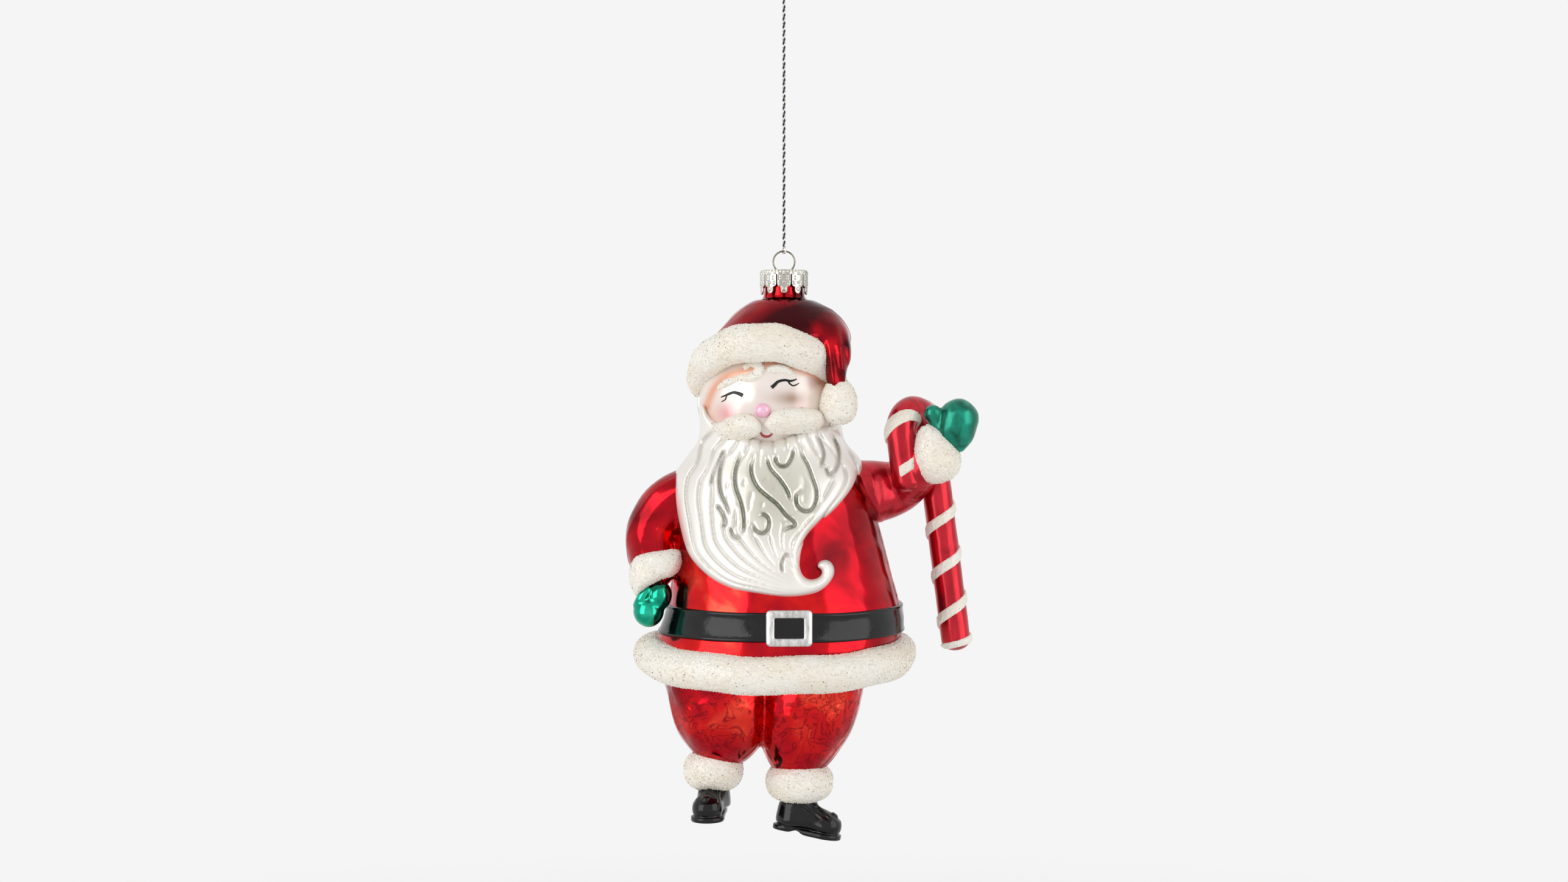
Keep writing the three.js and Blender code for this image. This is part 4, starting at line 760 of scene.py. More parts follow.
# Beard: painted white over the glass, carved with curls
beardSizes = {
    "outline": [
        (-22.2, 106.6), (-23.3, 104.3), (-24.4, 101.9), (-25.4, 99.5), (-26.6, 97.2), (-28, 95), (-28.4, 90.7),
        (-27.9, 84.4), (-26.5, 78.1), (-24.3, 72.6), (-20, 67.9), (-13.7, 64.6), (-6.1, 63), (-0.2, 62.5),
        (4.5, 62.7), (9, 63.8), (11.8, 66.1), (13, 68.4), (12.9, 70.3), (11.9, 71.7), (10.3, 72.1), (8.9, 71.3),
        (8.7, 70.2), (9.7, 69.4), (9.7, 68.4), (8.9, 67.5), (7.1, 67), (5.5, 67.5), (4.4, 69.1), (4.1, 71.6),
        (4.7, 75.2), (6.3, 78.8), (9, 81.5), (12.6, 84.6), (16.2, 88.7), (18.9, 92.7), (20.9, 97.2), (20.3, 100.8),
        (18.2, 104.6), (15, 107.6), (12, 107), (6, 106), (1, 104), (-4, 102.6), (-9, 104), (-14, 106),
        (-17.2, 107.6), (-19.4, 109.6), (-20.6, 112.2), (-21.6, 112.4), (-22.2, 109.5)],
    "thickness": 3.0, "rim": 2.6, "carveDepth": 1.05, "carveWidth": 0.47, "step": 0.38,
    "curls": [
        [(-15.2, 100.8), (-16.1, 99.2), (-17.6, 96.2), (-18.4, 93.7), (-19, 90.7)],
        [(-15, 100.6), (-16.1, 97.5), (-16.7, 93.7), (-16.5, 89.9), (-15, 86.1), (-13.8, 82.7)],
        [(-10.6, 100.4), (-11.9, 97.5), (-12.7, 94.1), (-12.5, 90.7), (-11.2, 86.9), (-10.4, 82.7), (-10.6, 79.5),
         (-11.4, 78.7)],
        [(-7.4, 100), (-8.5, 96.6), (-8.3, 93.7), (-6.8, 90.7), (-4.5, 88.6), (-1.9, 86.5), (0.6, 83.5),
         (2.5, 81.9), (2.9, 81), (0.6, 80), (-1.7, 78.1)],
        [(-4.5, 99.2), (-3.6, 95.8), (-1.1, 92.8), (0.8, 89.9), (2.1, 86.5)],
        [(2.5, 101.3), (2.1, 98.7), (0.6, 96.4), (-1.1, 96.4), (-2.2, 97.9), (-1.7, 99.4)],
        [(4.8, 102.1), (4.6, 99.6), (6.1, 96.6), (7.5, 92.8), (8.4, 89.9), (8.2, 86.9), (6.9, 84.8), (4.8, 84.8),
         (3.3, 86.5), (3.3, 89), (5.4, 90.7)],
        [(8.4, 104.6), (9.7, 101.7), (10.3, 99.2), (9.4, 95.8)],
        [(10.7, 96.2), (11.8, 94.1), (13.2, 95.4)],
        [(12.4, 104.6), (14.1, 100), (13.9, 96.6), (12.4, 93.7)],
        [(-6.8, 83.1), (-5.3, 83.8), (-4.1, 82.7), (-4.1, 80.2), (-5.5, 78.9), (-7.4, 79.7), (-8.3, 81.9)],
        [(-0.3, 68.4), (-0.7, 70.9), (0.6, 73.4), (1.6, 72.6)],
        [(-17.6, 86.5), (-15.9, 84), (-15.2, 81.4), (-16.3, 80.2)], [(-13.9, 80.5), (-13, 78.2), (-11, 77.4)]],
    "strandsBetween": (
        [(-19.5, 108), (-23.3, 104.3), (-25.4, 99.5), (-28, 95), (-28.4, 90.7), (-27.9, 84.4), (-26.5, 78.1),
         (-24.3, 72.6), (-20, 67.9), (-13.7, 64.6), (-6.1, 63.2), (-0.2, 62.7), (6.1, 63.3), (10.2, 65),
         (12.4, 67.9)],
        [(14, 108), (18, 104.6), (19.5, 101.3), (21.3, 96.5), (21.3, 92.8), (20, 89.5), (16.7, 85.2), (12.4, 81),
         (8.2, 76.7), (5.7, 73.4), (5.5, 70.9), (6.9, 68.3), (9.4, 69.6)]),
    "strands": 12, "strandDepth": 0.62,
    "curlZone": (-3, 92, 14, 11), "silverZone": (-3, 89, 14, 12)}  # x, height, reach across and reach up


def carvedMap(sizes=beardSizes):
    curls = [smoothLine(curl, 40) for curl in sizes["curls"]]
    edges = [smoothLine(edge, 60) for edge in sizes["strandsBetween"]]

    def evaluate(spots):
        near, far = (distanceToLine(spots, edge)[0] for edge in edges)
        across = near / (near + far + 1e-6) + 0.02 * ripple(np.column_stack([spots, 0 * near]), 13.0, 51)
        combed = (0.5 + 0.5 * np.cos(2 * np.pi * sizes["strands"] * across)) ** 5
        combed *= limited((near + far - 6) / 18)  # finer where the locks draw together
        curled = np.exp(-awayFrom(spots, *sizes["curlZone"]) ** 4)
        depth = sizes["strandDepth"] * combed * (1 - 0.75 * curled) * limited((107 - spots[:, 1]) / 3)
        for line in curls:
            distance, share = distanceToLine(spots, line)
            fade = limited(np.minimum(share, 1 - share) * 7)
            depth = np.maximum(depth, fade * bell(distance, sizes["carveWidth"]))
            depth = depth - 0.3 * fade * bell(distance - 1.3, 0.5)  # a raised lip beside each groove
        return depth
    return seenMap((-31, 60), (24, 114), 0.16, evaluate)


carved = carvedMap()


def beardCarrier(p):
    return softMin(softMin(coat(p), head(p), 7.0), sleeve(p), 3.0)


beardPad = pad(beardCarrier, beardSizes["outline"], beardSizes["thickness"], beardSizes["rim"], 1.2)


def beardField(p, sizes=beardSizes):
    return beardPad(p) + sizes["carveDepth"] * carved(asSeen(p)) * limited((-1 - p[:, 1]) / 4)


beardPoints, beardFaces = skinField(beardField, (-34, -31, 60), (26, 0.5, 115), beardSizes["step"], rounds=2)
beardSeen = asSeen(beardPoints)
middleZone = limited(1.25 - awayFrom(beardSeen, *beardSizes["silverZone"])) ** 0.7
# painted shade in the carved lines, on the front only
beardGrooveShade = limited(carved(beardSeen)) * (beardPoints[:, 1] < -4)
addMesh("carved_beard", beardPoints, beardFaces, pearlWhite, "beard",
        pointValues={"bare": middleZone * 0.75, "paintedShadeInGrooves": beardGrooveShade * (0.45 + 0.55 * middleZone)})
print("beard made")


# Hair at the back of the head, in the same paint
hairSizes = {"middleX": -3.8, "tips": 90.5, "top": 118.5, "thickness": 1.4, "lockDepth": 0.7, "locks": 19,
             "step": 0.5}


def hairGrooves(p, sizes=hairSizes):
    x, y, z = p.T
    around = np.arctan2(x - sizes["middleX"], y) + 0.07 * np.sin((z - 90) * 0.28) + 0.05 * ripple(p, 16.0, 71)
    return (0.5 + 0.5 * np.cos(sizes["locks"] * around)) ** 4


def hairField(p, sizes=hairSizes):
    x, y, z = p.T
    base = softMin(softMin(coat(p), head(p), 5.0), sleeve(p), 3.0)
    around = np.arctan2(x - sizes["middleX"], y)
    tips = sizes["tips"] + 2.2 * np.abs(np.sin(around * 5.0)) + 6 * np.abs(around / 1.5) ** 3
    temple = 8.5 * limited((x - 9.5) / 2.5) * limited((z - 103) / 3)  # further forward beside the pompom
    front = 0.4 + 3 * np.clip((z - 108) / 8, -1, 0) - temple
    sheet = base - sizes["thickness"] + sizes["lockDepth"] * hairGrooves(p)
    for edge, blend in ((tips - z, 0.8), (z - sizes["top"], 0.8), (front - y, 0.6)):
        sheet = softMax(sheet, edge, blend)
    return np.maximum(sheet, -base - 1.0)


hairPoints, hairFaces = skinField(hairField, (-28, -10, 86), (22, 24, 120), hairSizes["step"])
# the lock grooves are darkened as painted shade
addMesh("back_hair_locks", hairPoints, hairFaces, pearlWhite, "back_hair", pointValues={
    "bare": np.full(len(hairPoints), 0.15), "paintedShadeInGrooves": 0.5 * hairGrooves(hairPoints)})


# Face: pearl skin over the head, in a simple doll's style
faceSizes = {
    "outline": [
        (-21, 107), (-22.8, 111), (-22.6, 116), (-20, 121), (-14, 125.5), (-8, 127.5), (-2, 127.5), (5, 126),
        (9.5, 122), (12.2, 117), (13, 112), (12.5, 107), (6, 103.5), (-1, 102.0), (-5, 101.2), (-9, 102.0),
        (-14, 104)],
    "thickness": 0.9, "rim": 1.0, "step": 0.4,
    "rises": [(-13.2, 109.8, 4.5, 0.9), (2.5, 113.7, 5.0, 0.8), (-13.5, 114.5, 2.6, -0.35),
              (0.3, 117.5, 2.6, -0.3), (-7.2, 114.5, 2.0, 0.5)],  # cheeks, sockets and the nose's bridge
    "brimLine": [(-20, 112), (-18, 116.5), (-15, 119.3), (-12, 120.3), (-9, 121.5), (-4, 123), (2, 122.3), (8, 120),
                 (12, 117)]}
facePad = pad(head, faceSizes["outline"], faceSizes["thickness"], faceSizes["rim"], 0.8)


def faceField(p, sizes=faceSizes):
    spots = asSeen(p)
    rise = sum(height * np.exp(-(awayFrom(spots, x, z) / radius) ** 2.6) for x, z, radius, height in sizes["rises"])
    return facePad(p) - rise * (p[:, 1] < -3)


facePoints, faceFaces = skinField(faceField, (-24, -21, 99), (15, 0.5, 130), faceSizes["step"])
faceSeen = asSeen(facePoints)


def sprayed(x, z, radius, wider=1.0):
    return bell(awayFrom(faceSeen, x, z, wider), radius)


underBrim = distanceToLine(faceSeen, smoothLine(faceSizes["brimLine"], 40))[0]
addMesh("pearl_face", facePoints, faceFaces, pearlSkin, "face", pointValues={
    "peach": limited(limited(1.2 - underBrim / 1.6) + 0.5 * sprayed(-18.5, 109, 2.5) + 0.4 * sprayed(9.5, 117, 2.5)),
    "rose": 0.85 * sprayed(-14.8, 109.9, 2.7) + 0.25 * sprayed(4.5, 111.0, 2.6),
    # brown painted shade under the right eye and by the face's right edge
    "tan": 0.62 * sprayed(1.4, 113.9, 1.9, 2.63) + 0.2 * sprayed(2.3, 113.6, 1.6) + 0.3 * sprayed(8.5, 118.5, 2.0)})

noseSizes = {"centre": (-5.5, 110.7), "radius": 2.1, "stretch": (1.0, 0.95, 0.9)}
noseSeat = frontPoints(faceField, [noseSizes["centre"]])[0] + [0, 0.4, 0]
noseField = ball(noseSeat, np.array(noseSizes["stretch"]) * noseSizes["radius"])
addMesh("round_nose", *skinField(noseField, noseSeat - 3, noseSeat + 3, 0.3), pinkPearl, "nose")


# Eyes and mouth: brushed strokes, each a row of x, height and half width as seen
strokeSizes = {
    "leftLid": [(-10.7, 114.6, 0.5), (-11.8, 115.1, 0.42), (-13.0, 115.35, 0.36), (-14.3, 114.9, 0.36),
                (-14.8, 114.7, 0.32), (-16.3, 114.1, 0.16)],
    "leftLash": [(-14.8, 114.7, 0.26), (-15.1, 113.6, 0.22), (-16.2, 112.9, 0.12)],
    "rightLid": [(-3.2, 116.6, 0.5), (-2.5, 117.2, 0.46), (-1.7, 118, 0.4), (-0.7, 118.4, 0.36),
                 (0.3, 118.5, 0.36), (1.8, 118.3, 0.32), (3.3, 118.8, 0.16)],
    "rightLash": [(1, 118.3, 0.28), (1.5, 117.6, 0.24), (2.3, 117.1, 0.2), (3.1, 117.3, 0.18), (3.9, 117.8, 0.1)],
    "mouth": [(-6.1, 105.1, 0.28), (-5.5, 104.3, 0.38), (-4.6, 104.0, 0.4), (-3.7, 104.2, 0.34), (-3.1, 104.8, 0.26),
              (-2.7, 105.5, 0.14)]}
for name, spots in strokeSizes.items():
    line = smoothLine(spots, 36)
    seat = frontPoints(faceField, line[:, :2], lift=0.02)
    addMesh(name, *tube(seat, line[:, 2], sides=10, flatten=0.35), redPaint if name == "mouth" else blackLacquer)

# Eyebrows, forelock and moustache, all glass glitter
browSizes = {
    "left": [(-16.6, 116.6, 0.75), (-15.2, 117.6, 1.05), (-13.5, 118.3, 1.05), (-12.2, 118.7, 0.75)],
    "right": [(-3.4, 121.2, 1.05), (-1.5, 121.4, 1.25), (0.5, 121.0, 1.1), (2.6, 119.5, 0.6)],
    "forelock": [(-11.4, 119.3, 0.8), (-10.1, 119.0, 1.0), (-7.8, 119.4, 1.3), (-6.5, 120.8, 1.4), (-6.7, 122.2, 1.3),
                 (-8.6, 122.7, 1.0), (-9.8, 121.8, 0.9)], "step": 0.3}


for name, node, spots in (("left_eyebrow", "eyebrow_left", "left"), ("right_eyebrow", "eyebrow_right", "right"),
                          ("curled_forelock", "forelock", "forelock")):
    line = smoothLine(browSizes[spots], 16)
    seat = frontPoints(faceField, line[:, :2], lift=0.0)
    seat[:, 1] += 0.35  # most of the lump is sunk in the face
    form = limb(np.column_stack([seat, line[:, 2]]))
    addGlitter(name, node, *skinField(form, seat.min(0) - 2, seat.max(0) + 2, browSizes["step"]))

moustacheSizes = {
    "left": [(-19.6, 107.8), (-18, 107.4), (-16.1, 108), (-14, 109.3), (-11.8, 109.9), (-9.7, 109.9), (-7.8, 109.3),
             (-6.5, 108), (-5.7, 106.5), (-6.2, 104.9), (-7.5, 103.8), (-9.7, 103), (-12.7, 102.4), (-15.3, 102.5),
             (-17.4, 103.6), (-18.8, 105.4)],
    "right": [(-5.2, 107.1), (-4.2, 108.8), (-3, 110.3), (-0.2, 111.1), (3.7, 111.4), (7.1, 111.2), (9.7, 110.5),
              (10.8, 109.3), (10.4, 107.5), (9.3, 106), (7.1, 104.9), (3.7, 104.5), (0.3, 104.3), (-2.3, 104.3),
              (-3.6, 105.2), (-4.5, 106.2)],
    "height": 3.2, "rim": 3.6, "step": 0.45}


def moustacheCarrier(p):
    return softMin(head(p) - 0.6, beardCarrier(p) - 1.0, 2.0)


for side, low, high in (("left", (-23, -25, 99), (-3, 0, 114)), ("right", (-7, -25, 101), (14, 0, 116))):
    form = pad(moustacheCarrier, moustacheSizes[side], moustacheSizes["height"], moustacheSizes["rim"], 0.6)
    addGlitter(f"{side}_moustache", f"moustache_{side}", *skinField(form, low, high, moustacheSizes["step"]))
print("face made")


# Fur trim in glass glitter: rolls round the hat and the hem
brimSizes = {"x": -4.4, "halfWidth": 16.8, "halfDepth": 16.4, "height": 118.3, "frontRise": 9.4, "backDrop": 3.0,
             "tilt": -1.0, "radius": 3.9, "halfHeight": 4.9, "step": 0.55}
hemSizes = {"x": -2.4, "halfWidth": 31.6, "halfDepth": 26.0, "height": 48.2, "frontRise": -3.9, "backDrop": 0.0,
            "tilt": 0.0, "radius": 4.9, "halfHeight": 4.8, "step": 0.6}


def rollField(sizes):
    def field(p):
        x, y, z = p.T
        across, deep = (x - sizes["x"]) / sizes["halfWidth"], y / sizes["halfDepth"]
        size = np.maximum(np.hypot(across, deep), 1e-6)
        side, back = across / size, deep / size
        height = sizes["height"] + sizes["tilt"] * side
        height += sizes["frontRise"] * np.maximum(0, -back) - sizes["backDrop"] * np.maximum(0, back)
        out = (size - 1) * np.hypot(sizes["halfWidth"] * side, sizes["halfDepth"] * back) / sizes["radius"]
        up = (z - height) / sizes["halfHeight"]
        swell = 1 + 0.04 * np.sin(9 * np.arctan2(back, side) + 1.4 * np.sin(np.arctan2(up, out)))
        return (np.hypot(out, up) - swell) * sizes["radius"]
    return field


addGlitter("hat_brim_fur", "hat_brim", *skinField(
    rollField(brimSizes), (-28, -22, 107), (20, 22, 136), brimSizes["step"]))
addGlitter("coat_hem_fur", "coat_hem", *skinField(
    rollField(hemSizes), (-41, -33, 37), (36, 33, 55), hemSizes["step"]))

pompomSizes = {"centre": (13.9, -11.6, 113.1), "radii": (4.7, 4.7, 6.2), "step": 0.45}


def pompomField(p, sizes=pompomSizes):
    q = p - np.array(sizes["centre"])
    q[:, :2] *= 1 + 0.03 * q[:, 2:]  # fuller at the foot
    return ball((0, 0, 0), sizes["radii"])(q) + 0.15 * ripple(p, 6.0, 9)


addGlitter("pompom_fur", "pompom", *skinField(pompomField, (8, -18, 105), (21, -5, 120), pompomSizes["step"]))

cuffSizes = {"left": (-18.2, 0, 17.8, 7.7), "right": (4, 0, 14.8, 8.7), "halfHeight": 5.6, "step": 0.5}
for side in ("left", "right"):
    centre, radius = np.array(cuffSizes[side][:3], dtype=float), cuffSizes[side][3]

    def cuffField(p, centre=centre, radius=radius, halfHeight=cuffSizes["halfHeight"]):
        x, y, z = (p - centre).T
        round_ = ((np.hypot(x, y) / radius) ** 2.6 + (np.abs(z) / halfHeight) ** 2.3) ** 0.41
        return (round_ - 1) * halfHeight + 0.15 * ripple(p, 7.0, 4)
    addGlitter(f"{side}_trouser_cuff", f"trouser_cuff_{side}", *skinField(
        cuffField, centre - 10, centre + 10, cuffSizes["step"]))
print("fur trim made")


# Belt: a band lacquered black on the coat, with raised edges
beltSizes = {"height": 57.5, "sag": 1.4, "width": 7.2, "thickness": 0.7}


def beltBand(sizes=beltSizes):
    half, top = sizes["width"] / 2, sizes["thickness"]
    section = sections(glassSizes["coat"])
    edge = [(-0.25, 0), (top * 0.6, 0.05), (top + 0.15, -0.35), (top + 0.1, -0.7), (top - 0.1, -1.0)]
    lower, upper = [(out, -half - up) for out, up in edge], [(out, half + up) for out, up in edge[::-1]]
    out, up = np.array(lower + [(top - 0.1, 0)] + upper).T
    rings = []
    for angle in np.linspace(0, 2 * np.pi, 240, endpoint=False):
        wave = 0.12 * np.sin(3 * angle + 1) + 0.08 * np.sin(7 * angle)
        height = sizes["height"] + sizes["sag"] * np.sin(angle) + up + wave
        a, b, x, y = section(height)
        rings.append(np.stack([x + (a + out) * np.cos(angle), y + (b + out) * np.sin(angle), height], -1))
    return skinRings(np.array(rings), closed=True)


addMesh("lacquered_belt", *beltBand(), blackLacquer, "belt")

# Buckle: a bevelled frame in silver paint over the belt
buckleSizes = {"x": 1.3, "height": 56.1, "halfWidth": 5.8, "halfHeight": 4.5, "bar": 2.15, "corner": 1.1,
               "thickness": 1.0, "step": 0.22}


def frameDistance(spots, halfWidth, halfHeight, corner):
    q = np.abs(spots) - [halfWidth - corner, halfHeight - corner]
    return np.linalg.norm(np.maximum(q, 0), axis=1) + np.minimum(q.max(1), 0) - corner


def buckleField(p, sizes=buckleSizes):
    spots = p[:, [0, 2]] - [sizes["x"], sizes["height"]]
    outside = frameDistance(spots, sizes["halfWidth"], sizes["halfHeight"], sizes["corner"])
    inside = frameDistance(spots, sizes["halfWidth"] - sizes["bar"], sizes["halfHeight"] - sizes["bar"] * 0.93, 0.35)
    ring = np.maximum(outside, -inside)
    rise = sizes["thickness"] * (0.75 + 0.25 * limited(-ring / 0.9)) + beltSizes["thickness"]
    base = coat(p)
    return np.maximum(np.maximum(softMax(base - rise, ring, 0.35), -base + 0.1), p[:, 1])


addMesh("painted_buckle", *skinField(buckleField, (-6, -29, 50), (9, -20, 63), buckleSizes["step"]),
        silverPaint, "belt_buckle")

# Boots: black lacquer, made toe along X on a level sole and then turned into place
bootSizes = {
    "shaft": (4.6, 3.7), "toe": [(-1, 0, 3.4, 3.4), (4.5, 0, 3.9, 3.5), (7.7, 0, 3.2, 3.95)],
    "counter": [(-1.9, 0, 3.4, 3.5), (-1.8, 0, 6.0, 3.4)], "sole": [(-3.2, 0), (1.5, 0), (7.6, 0)],
    "creases": (8.4, 9.9, 11.3), "step": 0.4,  # each boot has its place, its turn and the lift of its toe
    "right": ((3, 0, 1.63), 12, 9.3), "left": ((-18.2, 0, 6.1), 100, 4)}


def bootField(q, sizes=bootSizes):
    x, y, z = q.T
    wide, deep = sizes["shaft"]
    shaft = (np.hypot(x / wide, y / deep) - 1) * deep + 0.35 * bell(z - 7.8, 1.2)
    foot = softMin(limb(sizes["toe"])(q), limb(sizes["counter"])(q), 1.5)
    whole = softMin(foot, softMax(shaft, np.maximum(z - 14, 3.0 - z), 0.5), 2.2)
    creases = sum(0.35 * bell(x * 0.55 + z - height, 0.35) for height in sizes["creases"])
    whole += creases * limited((x + 1) / 3) * (z > 5)
    reach, along = distanceToLine(q[:, :2], np.array(sizes["sole"]))
    slab = softMax(reach - (2.95 + 1.35 * along ** 1.2), np.abs(z - 0.75) - 0.75, 0.3)
    welt = 0.22 * bell(z - 1.65, 0.25)
    arch = 0.9 * bell(x - 0.6, 1.5)
    return softMax(softMin(whole, slab, 0.25) + welt, arch - z, 0.3)


for side in ("left", "right"):
    place, turn, pitch = bootSizes[side]
    t, u = -math.radians(turn), math.radians(pitch)
    turned = (np.array([[math.cos(t), -math.sin(t), 0], [math.sin(t), math.cos(t), 0], [0, 0, 1]])
              @ np.array([[math.cos(u), 0, math.sin(u)], [0, 1, 0], [-math.sin(u), 0, math.cos(u)]]))
    q, faces = skinField(bootField, (-7, -6, -0.6), (13, 6, 12.5), bootSizes["step"])
    addMesh(f"{side}_boot", q @ turned.T + place, faces, blackLacquer, f"boot_{side}")
print("belt, buckle and boots made")

# Hand on the hip: a fur cuff and a green mitten
hipSizes = {
    "cuff": [(-39.7, 70.6), (-38.1, 72.9), (-34.6, 73.9), (-30.5, 74.5), (-27.9, 75), (-26.6, 74.8), (-26.1, 73.4),
             (-26.1, 72), (-26.9, 69.8), (-28.7, 68), (-32.3, 66.8), (-33.9, 66), (-35.3, 65.2), (-37.2, 63.2),
             (-37.6, 61.3), (-38.9, 63.2), (-40, 67.1)],
    "cuffBall": ((-33, -8, 69.5), (9, 7.5, 9)), "palm": ((-34.6, -9.2, 59.2), (3.9, 3.8, 3.9)),
    "heel": ((-31.7, -9.4, 63.4), (3.1, 3.2, 3.7)),
    "thumb": [(-37.3, -9.6, 61.0, 1.2), (-36.2, -10.6, 62.8, 1.4), (-34.9, -10.8, 64.8, 1.2)],
    "cuffStep": 0.5, "mittenStep": 0.4}
cuffOutline = outlineMap(hipSizes["cuff"], margin=6.0)
cuffBall, palm, heel = (ball(*hipSizes[name]) for name in ("cuffBall", "palm", "heel"))
thumb = limb(hipSizes["thumb"])
addGlitter("hip_cuff_fur", "hip_cuff", *skinField(
    lambda p: softMax(cuffBall(p), cuffOutline(asSeen(p)), 2.5), (-44, -18, 58), (-22, 1, 78), hipSizes["cuffStep"]))


def mittenField(p):
    hand = softMin(softMin(palm(p), heel(p), 0.8), thumb(p), 0.5)
    return hand + 0.1 * ripple(p, 6.0, 12)


mittenPoints, mittenFaces = skinField(mittenField, (-41, -15, 53), (-27, -3, 70), hipSizes["mittenStep"])
addMesh("hip_mitten_glass", mittenPoints, mittenFaces, greenGlass, "hip_mitten", pointValues={
    "paintedLightAndTone": 0.68 + 0.25 * ripple(mittenPoints, 5.0, 13), "crumple": np.full(len(mittenPoints), 0.2)})

# Raised arm: its own blown piece, glued on at the shoulder, with the cane glued behind the hand
armSizes = {
    "arm": [(12.3, 2, 89.8, 8.3), (22.6, 4.2, 89.6, 8.1), (28.85, 5.0, 90.6, 7.0), (35.1, -1.6, 95.9, 5.4),
            (37.1, -3.6, 99.3, 4.2)],
    "glue": ((22.5, 93.6), (25.2, 81.4)), "cuffCentre": (38.9, -4.5, 99.6), "cuffAxis": (-0.32, -0.1, 1.0),
    "cuffRadius": 5.7, "cuffHalfHeight": 7.8,
    "hand": [(42.6, -4.6, 102.5, 2.6), (43.6, -4.8, 105.7, 4.4), (44.8, -4.8, 108.6, 4.95)],
    "edge": [(45.1, -4.7, 108.2, 4.6), (45.9, -4.6, 104.6, 3.0), (45.3, -4.5, 101.4, 1.4)],
    "thumb": [(41.3, -4.9, 105.0, 2.3), (38.2, -5.0, 109.8, 2.3)], "armStep": 0.55, "cuffStep": 0.5, "handStep": 0.4}
upperArm, hand, handEdge, handThumb = (limb(armSizes[name]) for name in ("arm", "hand", "edge", "thumb"))


def armField(p, sizes=armSizes):
    x, y, z = p.T
    glue = distanceToLine(asSeen(p), smoothLine(sizes["glue"], 4))[0]  # the line of glue at the shoulder
    bead = 0.3 * bell(glue - 0.2, 0.5) * (y < 3)
    crease = 0.35 * bell(x - 31.5 - 0.4 * (z - 92), 1.0) * (z > 90)
    return upperArm(p) - bead + crease + 0.14 * ripple(p, 7.0, 21)


def raisedCuffField(p, sizes=armSizes):
    q = p - np.array(sizes["cuffCentre"])
    axis = unit(np.array(sizes["cuffAxis"]))
    along = q @ axis
    around = np.linalg.norm(q - along[:, None] * axis, axis=1) * (1 + 0.035 * along)  # fuller at the wrist
    round_ = np.hypot(around / sizes["cuffRadius"], along / sizes["cuffHalfHeight"])
    return (round_ - 1) * sizes["cuffRadius"] + 0.15 * ripple(p, 6.0, 31)


def raisedMittenField(p):
    return softMin(softMin(hand(p), handEdge(p), 1.5), handThumb(p), 0.7) + 0.15 * ripple(p, 5.0, 14)


addMesh("raised_arm_glass", *skinField(armField, (2, -12, 78), (44, 16, 106), armSizes["armStep"]),
        redStreaks, "raised_arm")
addGlitter("raised_cuff_fur", "raised_cuff", *skinField(
    raisedCuffField, (30, -13, 90), (47, 4, 110), armSizes["cuffStep"]))
addMesh("raised_mitten_glass", *skinField(raisedMittenField, (33, -12, 96), (51, 3, 116), armSizes["handStep"]),
        greenStreaks, "raised_mitten")
print("hands and arm made")

# Candy cane: a red blown tube with a glitter stripe wound round it
caneSizes = {"foot": (44.9, 6.8, 50.8), "lean": 7.2, "shaft": 54.6, "hookRadius": 6.2, "hookTurn": 50, "tip": 11.8,
             "radius": 3.84, "stripeWidth": 2.6, "stripeLead": 11.8, "stripeStart": 2.08, "stripeRise": 0.45,
             "stripeEnd": 1.2, "footTurn": 4.9, "footDrop": 4.4, "footFade": 2.2}
lean, hookTurn = math.radians(caneSizes["lean"]), math.radians(caneSizes["hookTurn"])
caneUp = np.array([-math.sin(lean), 0, math.cos(lean)])
caneSide = np.array([-math.cos(hookTurn), -math.sin(hookTurn), 0])
caneSide = unit(caneSide - caneUp * (caneSide @ caneUp))
caneAcross = np.cross(caneSide, caneUp)
caneLength = caneSizes["shaft"] + math.pi * caneSizes["hookRadius"] + caneSizes["tip"]


# A point of the cane at a distance from its foot along its middle line and at an angle round it
def canePoint(distance, angle, reach, sizes=caneSizes):
    past = (distance - sizes["shaft"])[:, None]
    turn = np.clip(past / sizes["hookRadius"], 0, math.pi)
    centre = np.array(sizes["foot"]) + caneUp * (sizes["shaft"] + np.minimum(past, 0))
    centre = centre + sizes["hookRadius"] * ((1 - np.cos(turn)) * caneSide + np.sin(turn) * caneUp)
    centre = centre - caneUp * np.maximum(0, past - math.pi * sizes["hookRadius"])
    inward = np.cross(caneAcross, np.cos(turn) * caneUp + np.sin(turn) * caneSide)
    return centre + (np.cos(angle)[:, None] * caneAcross + np.sin(angle)[:, None] * inward) * reach[:, None]


# The share of the radius that is left on the domes at both ends
def caneDome(distance, sizes=caneSizes):
    beyond = np.maximum(-distance, distance - caneLength)
    return np.sqrt(1 - (np.maximum(beyond, 0) / (0.7 * sizes["radius"])) ** 2)


def caneTube(sizes=caneSizes):
    dome = 0.7 * sizes["radius"] * np.cos(np.linspace(0.05, math.pi / 2, 9))
    distance = np.concatenate([-dome, np.linspace(0, caneLength, 160)[1:-1], caneLength + dome[::-1]])
    rings = [canePoint(np.full(40, d), np.linspace(0, 2 * np.pi, 40, endpoint=False),
                       np.full(40, sizes["radius"] * caneDome(d))) for d in distance]
    points, faces = skinRings(np.array(rings))
    return points + 0.06 * ripple(points, 6.0, 41)[:, None], faces


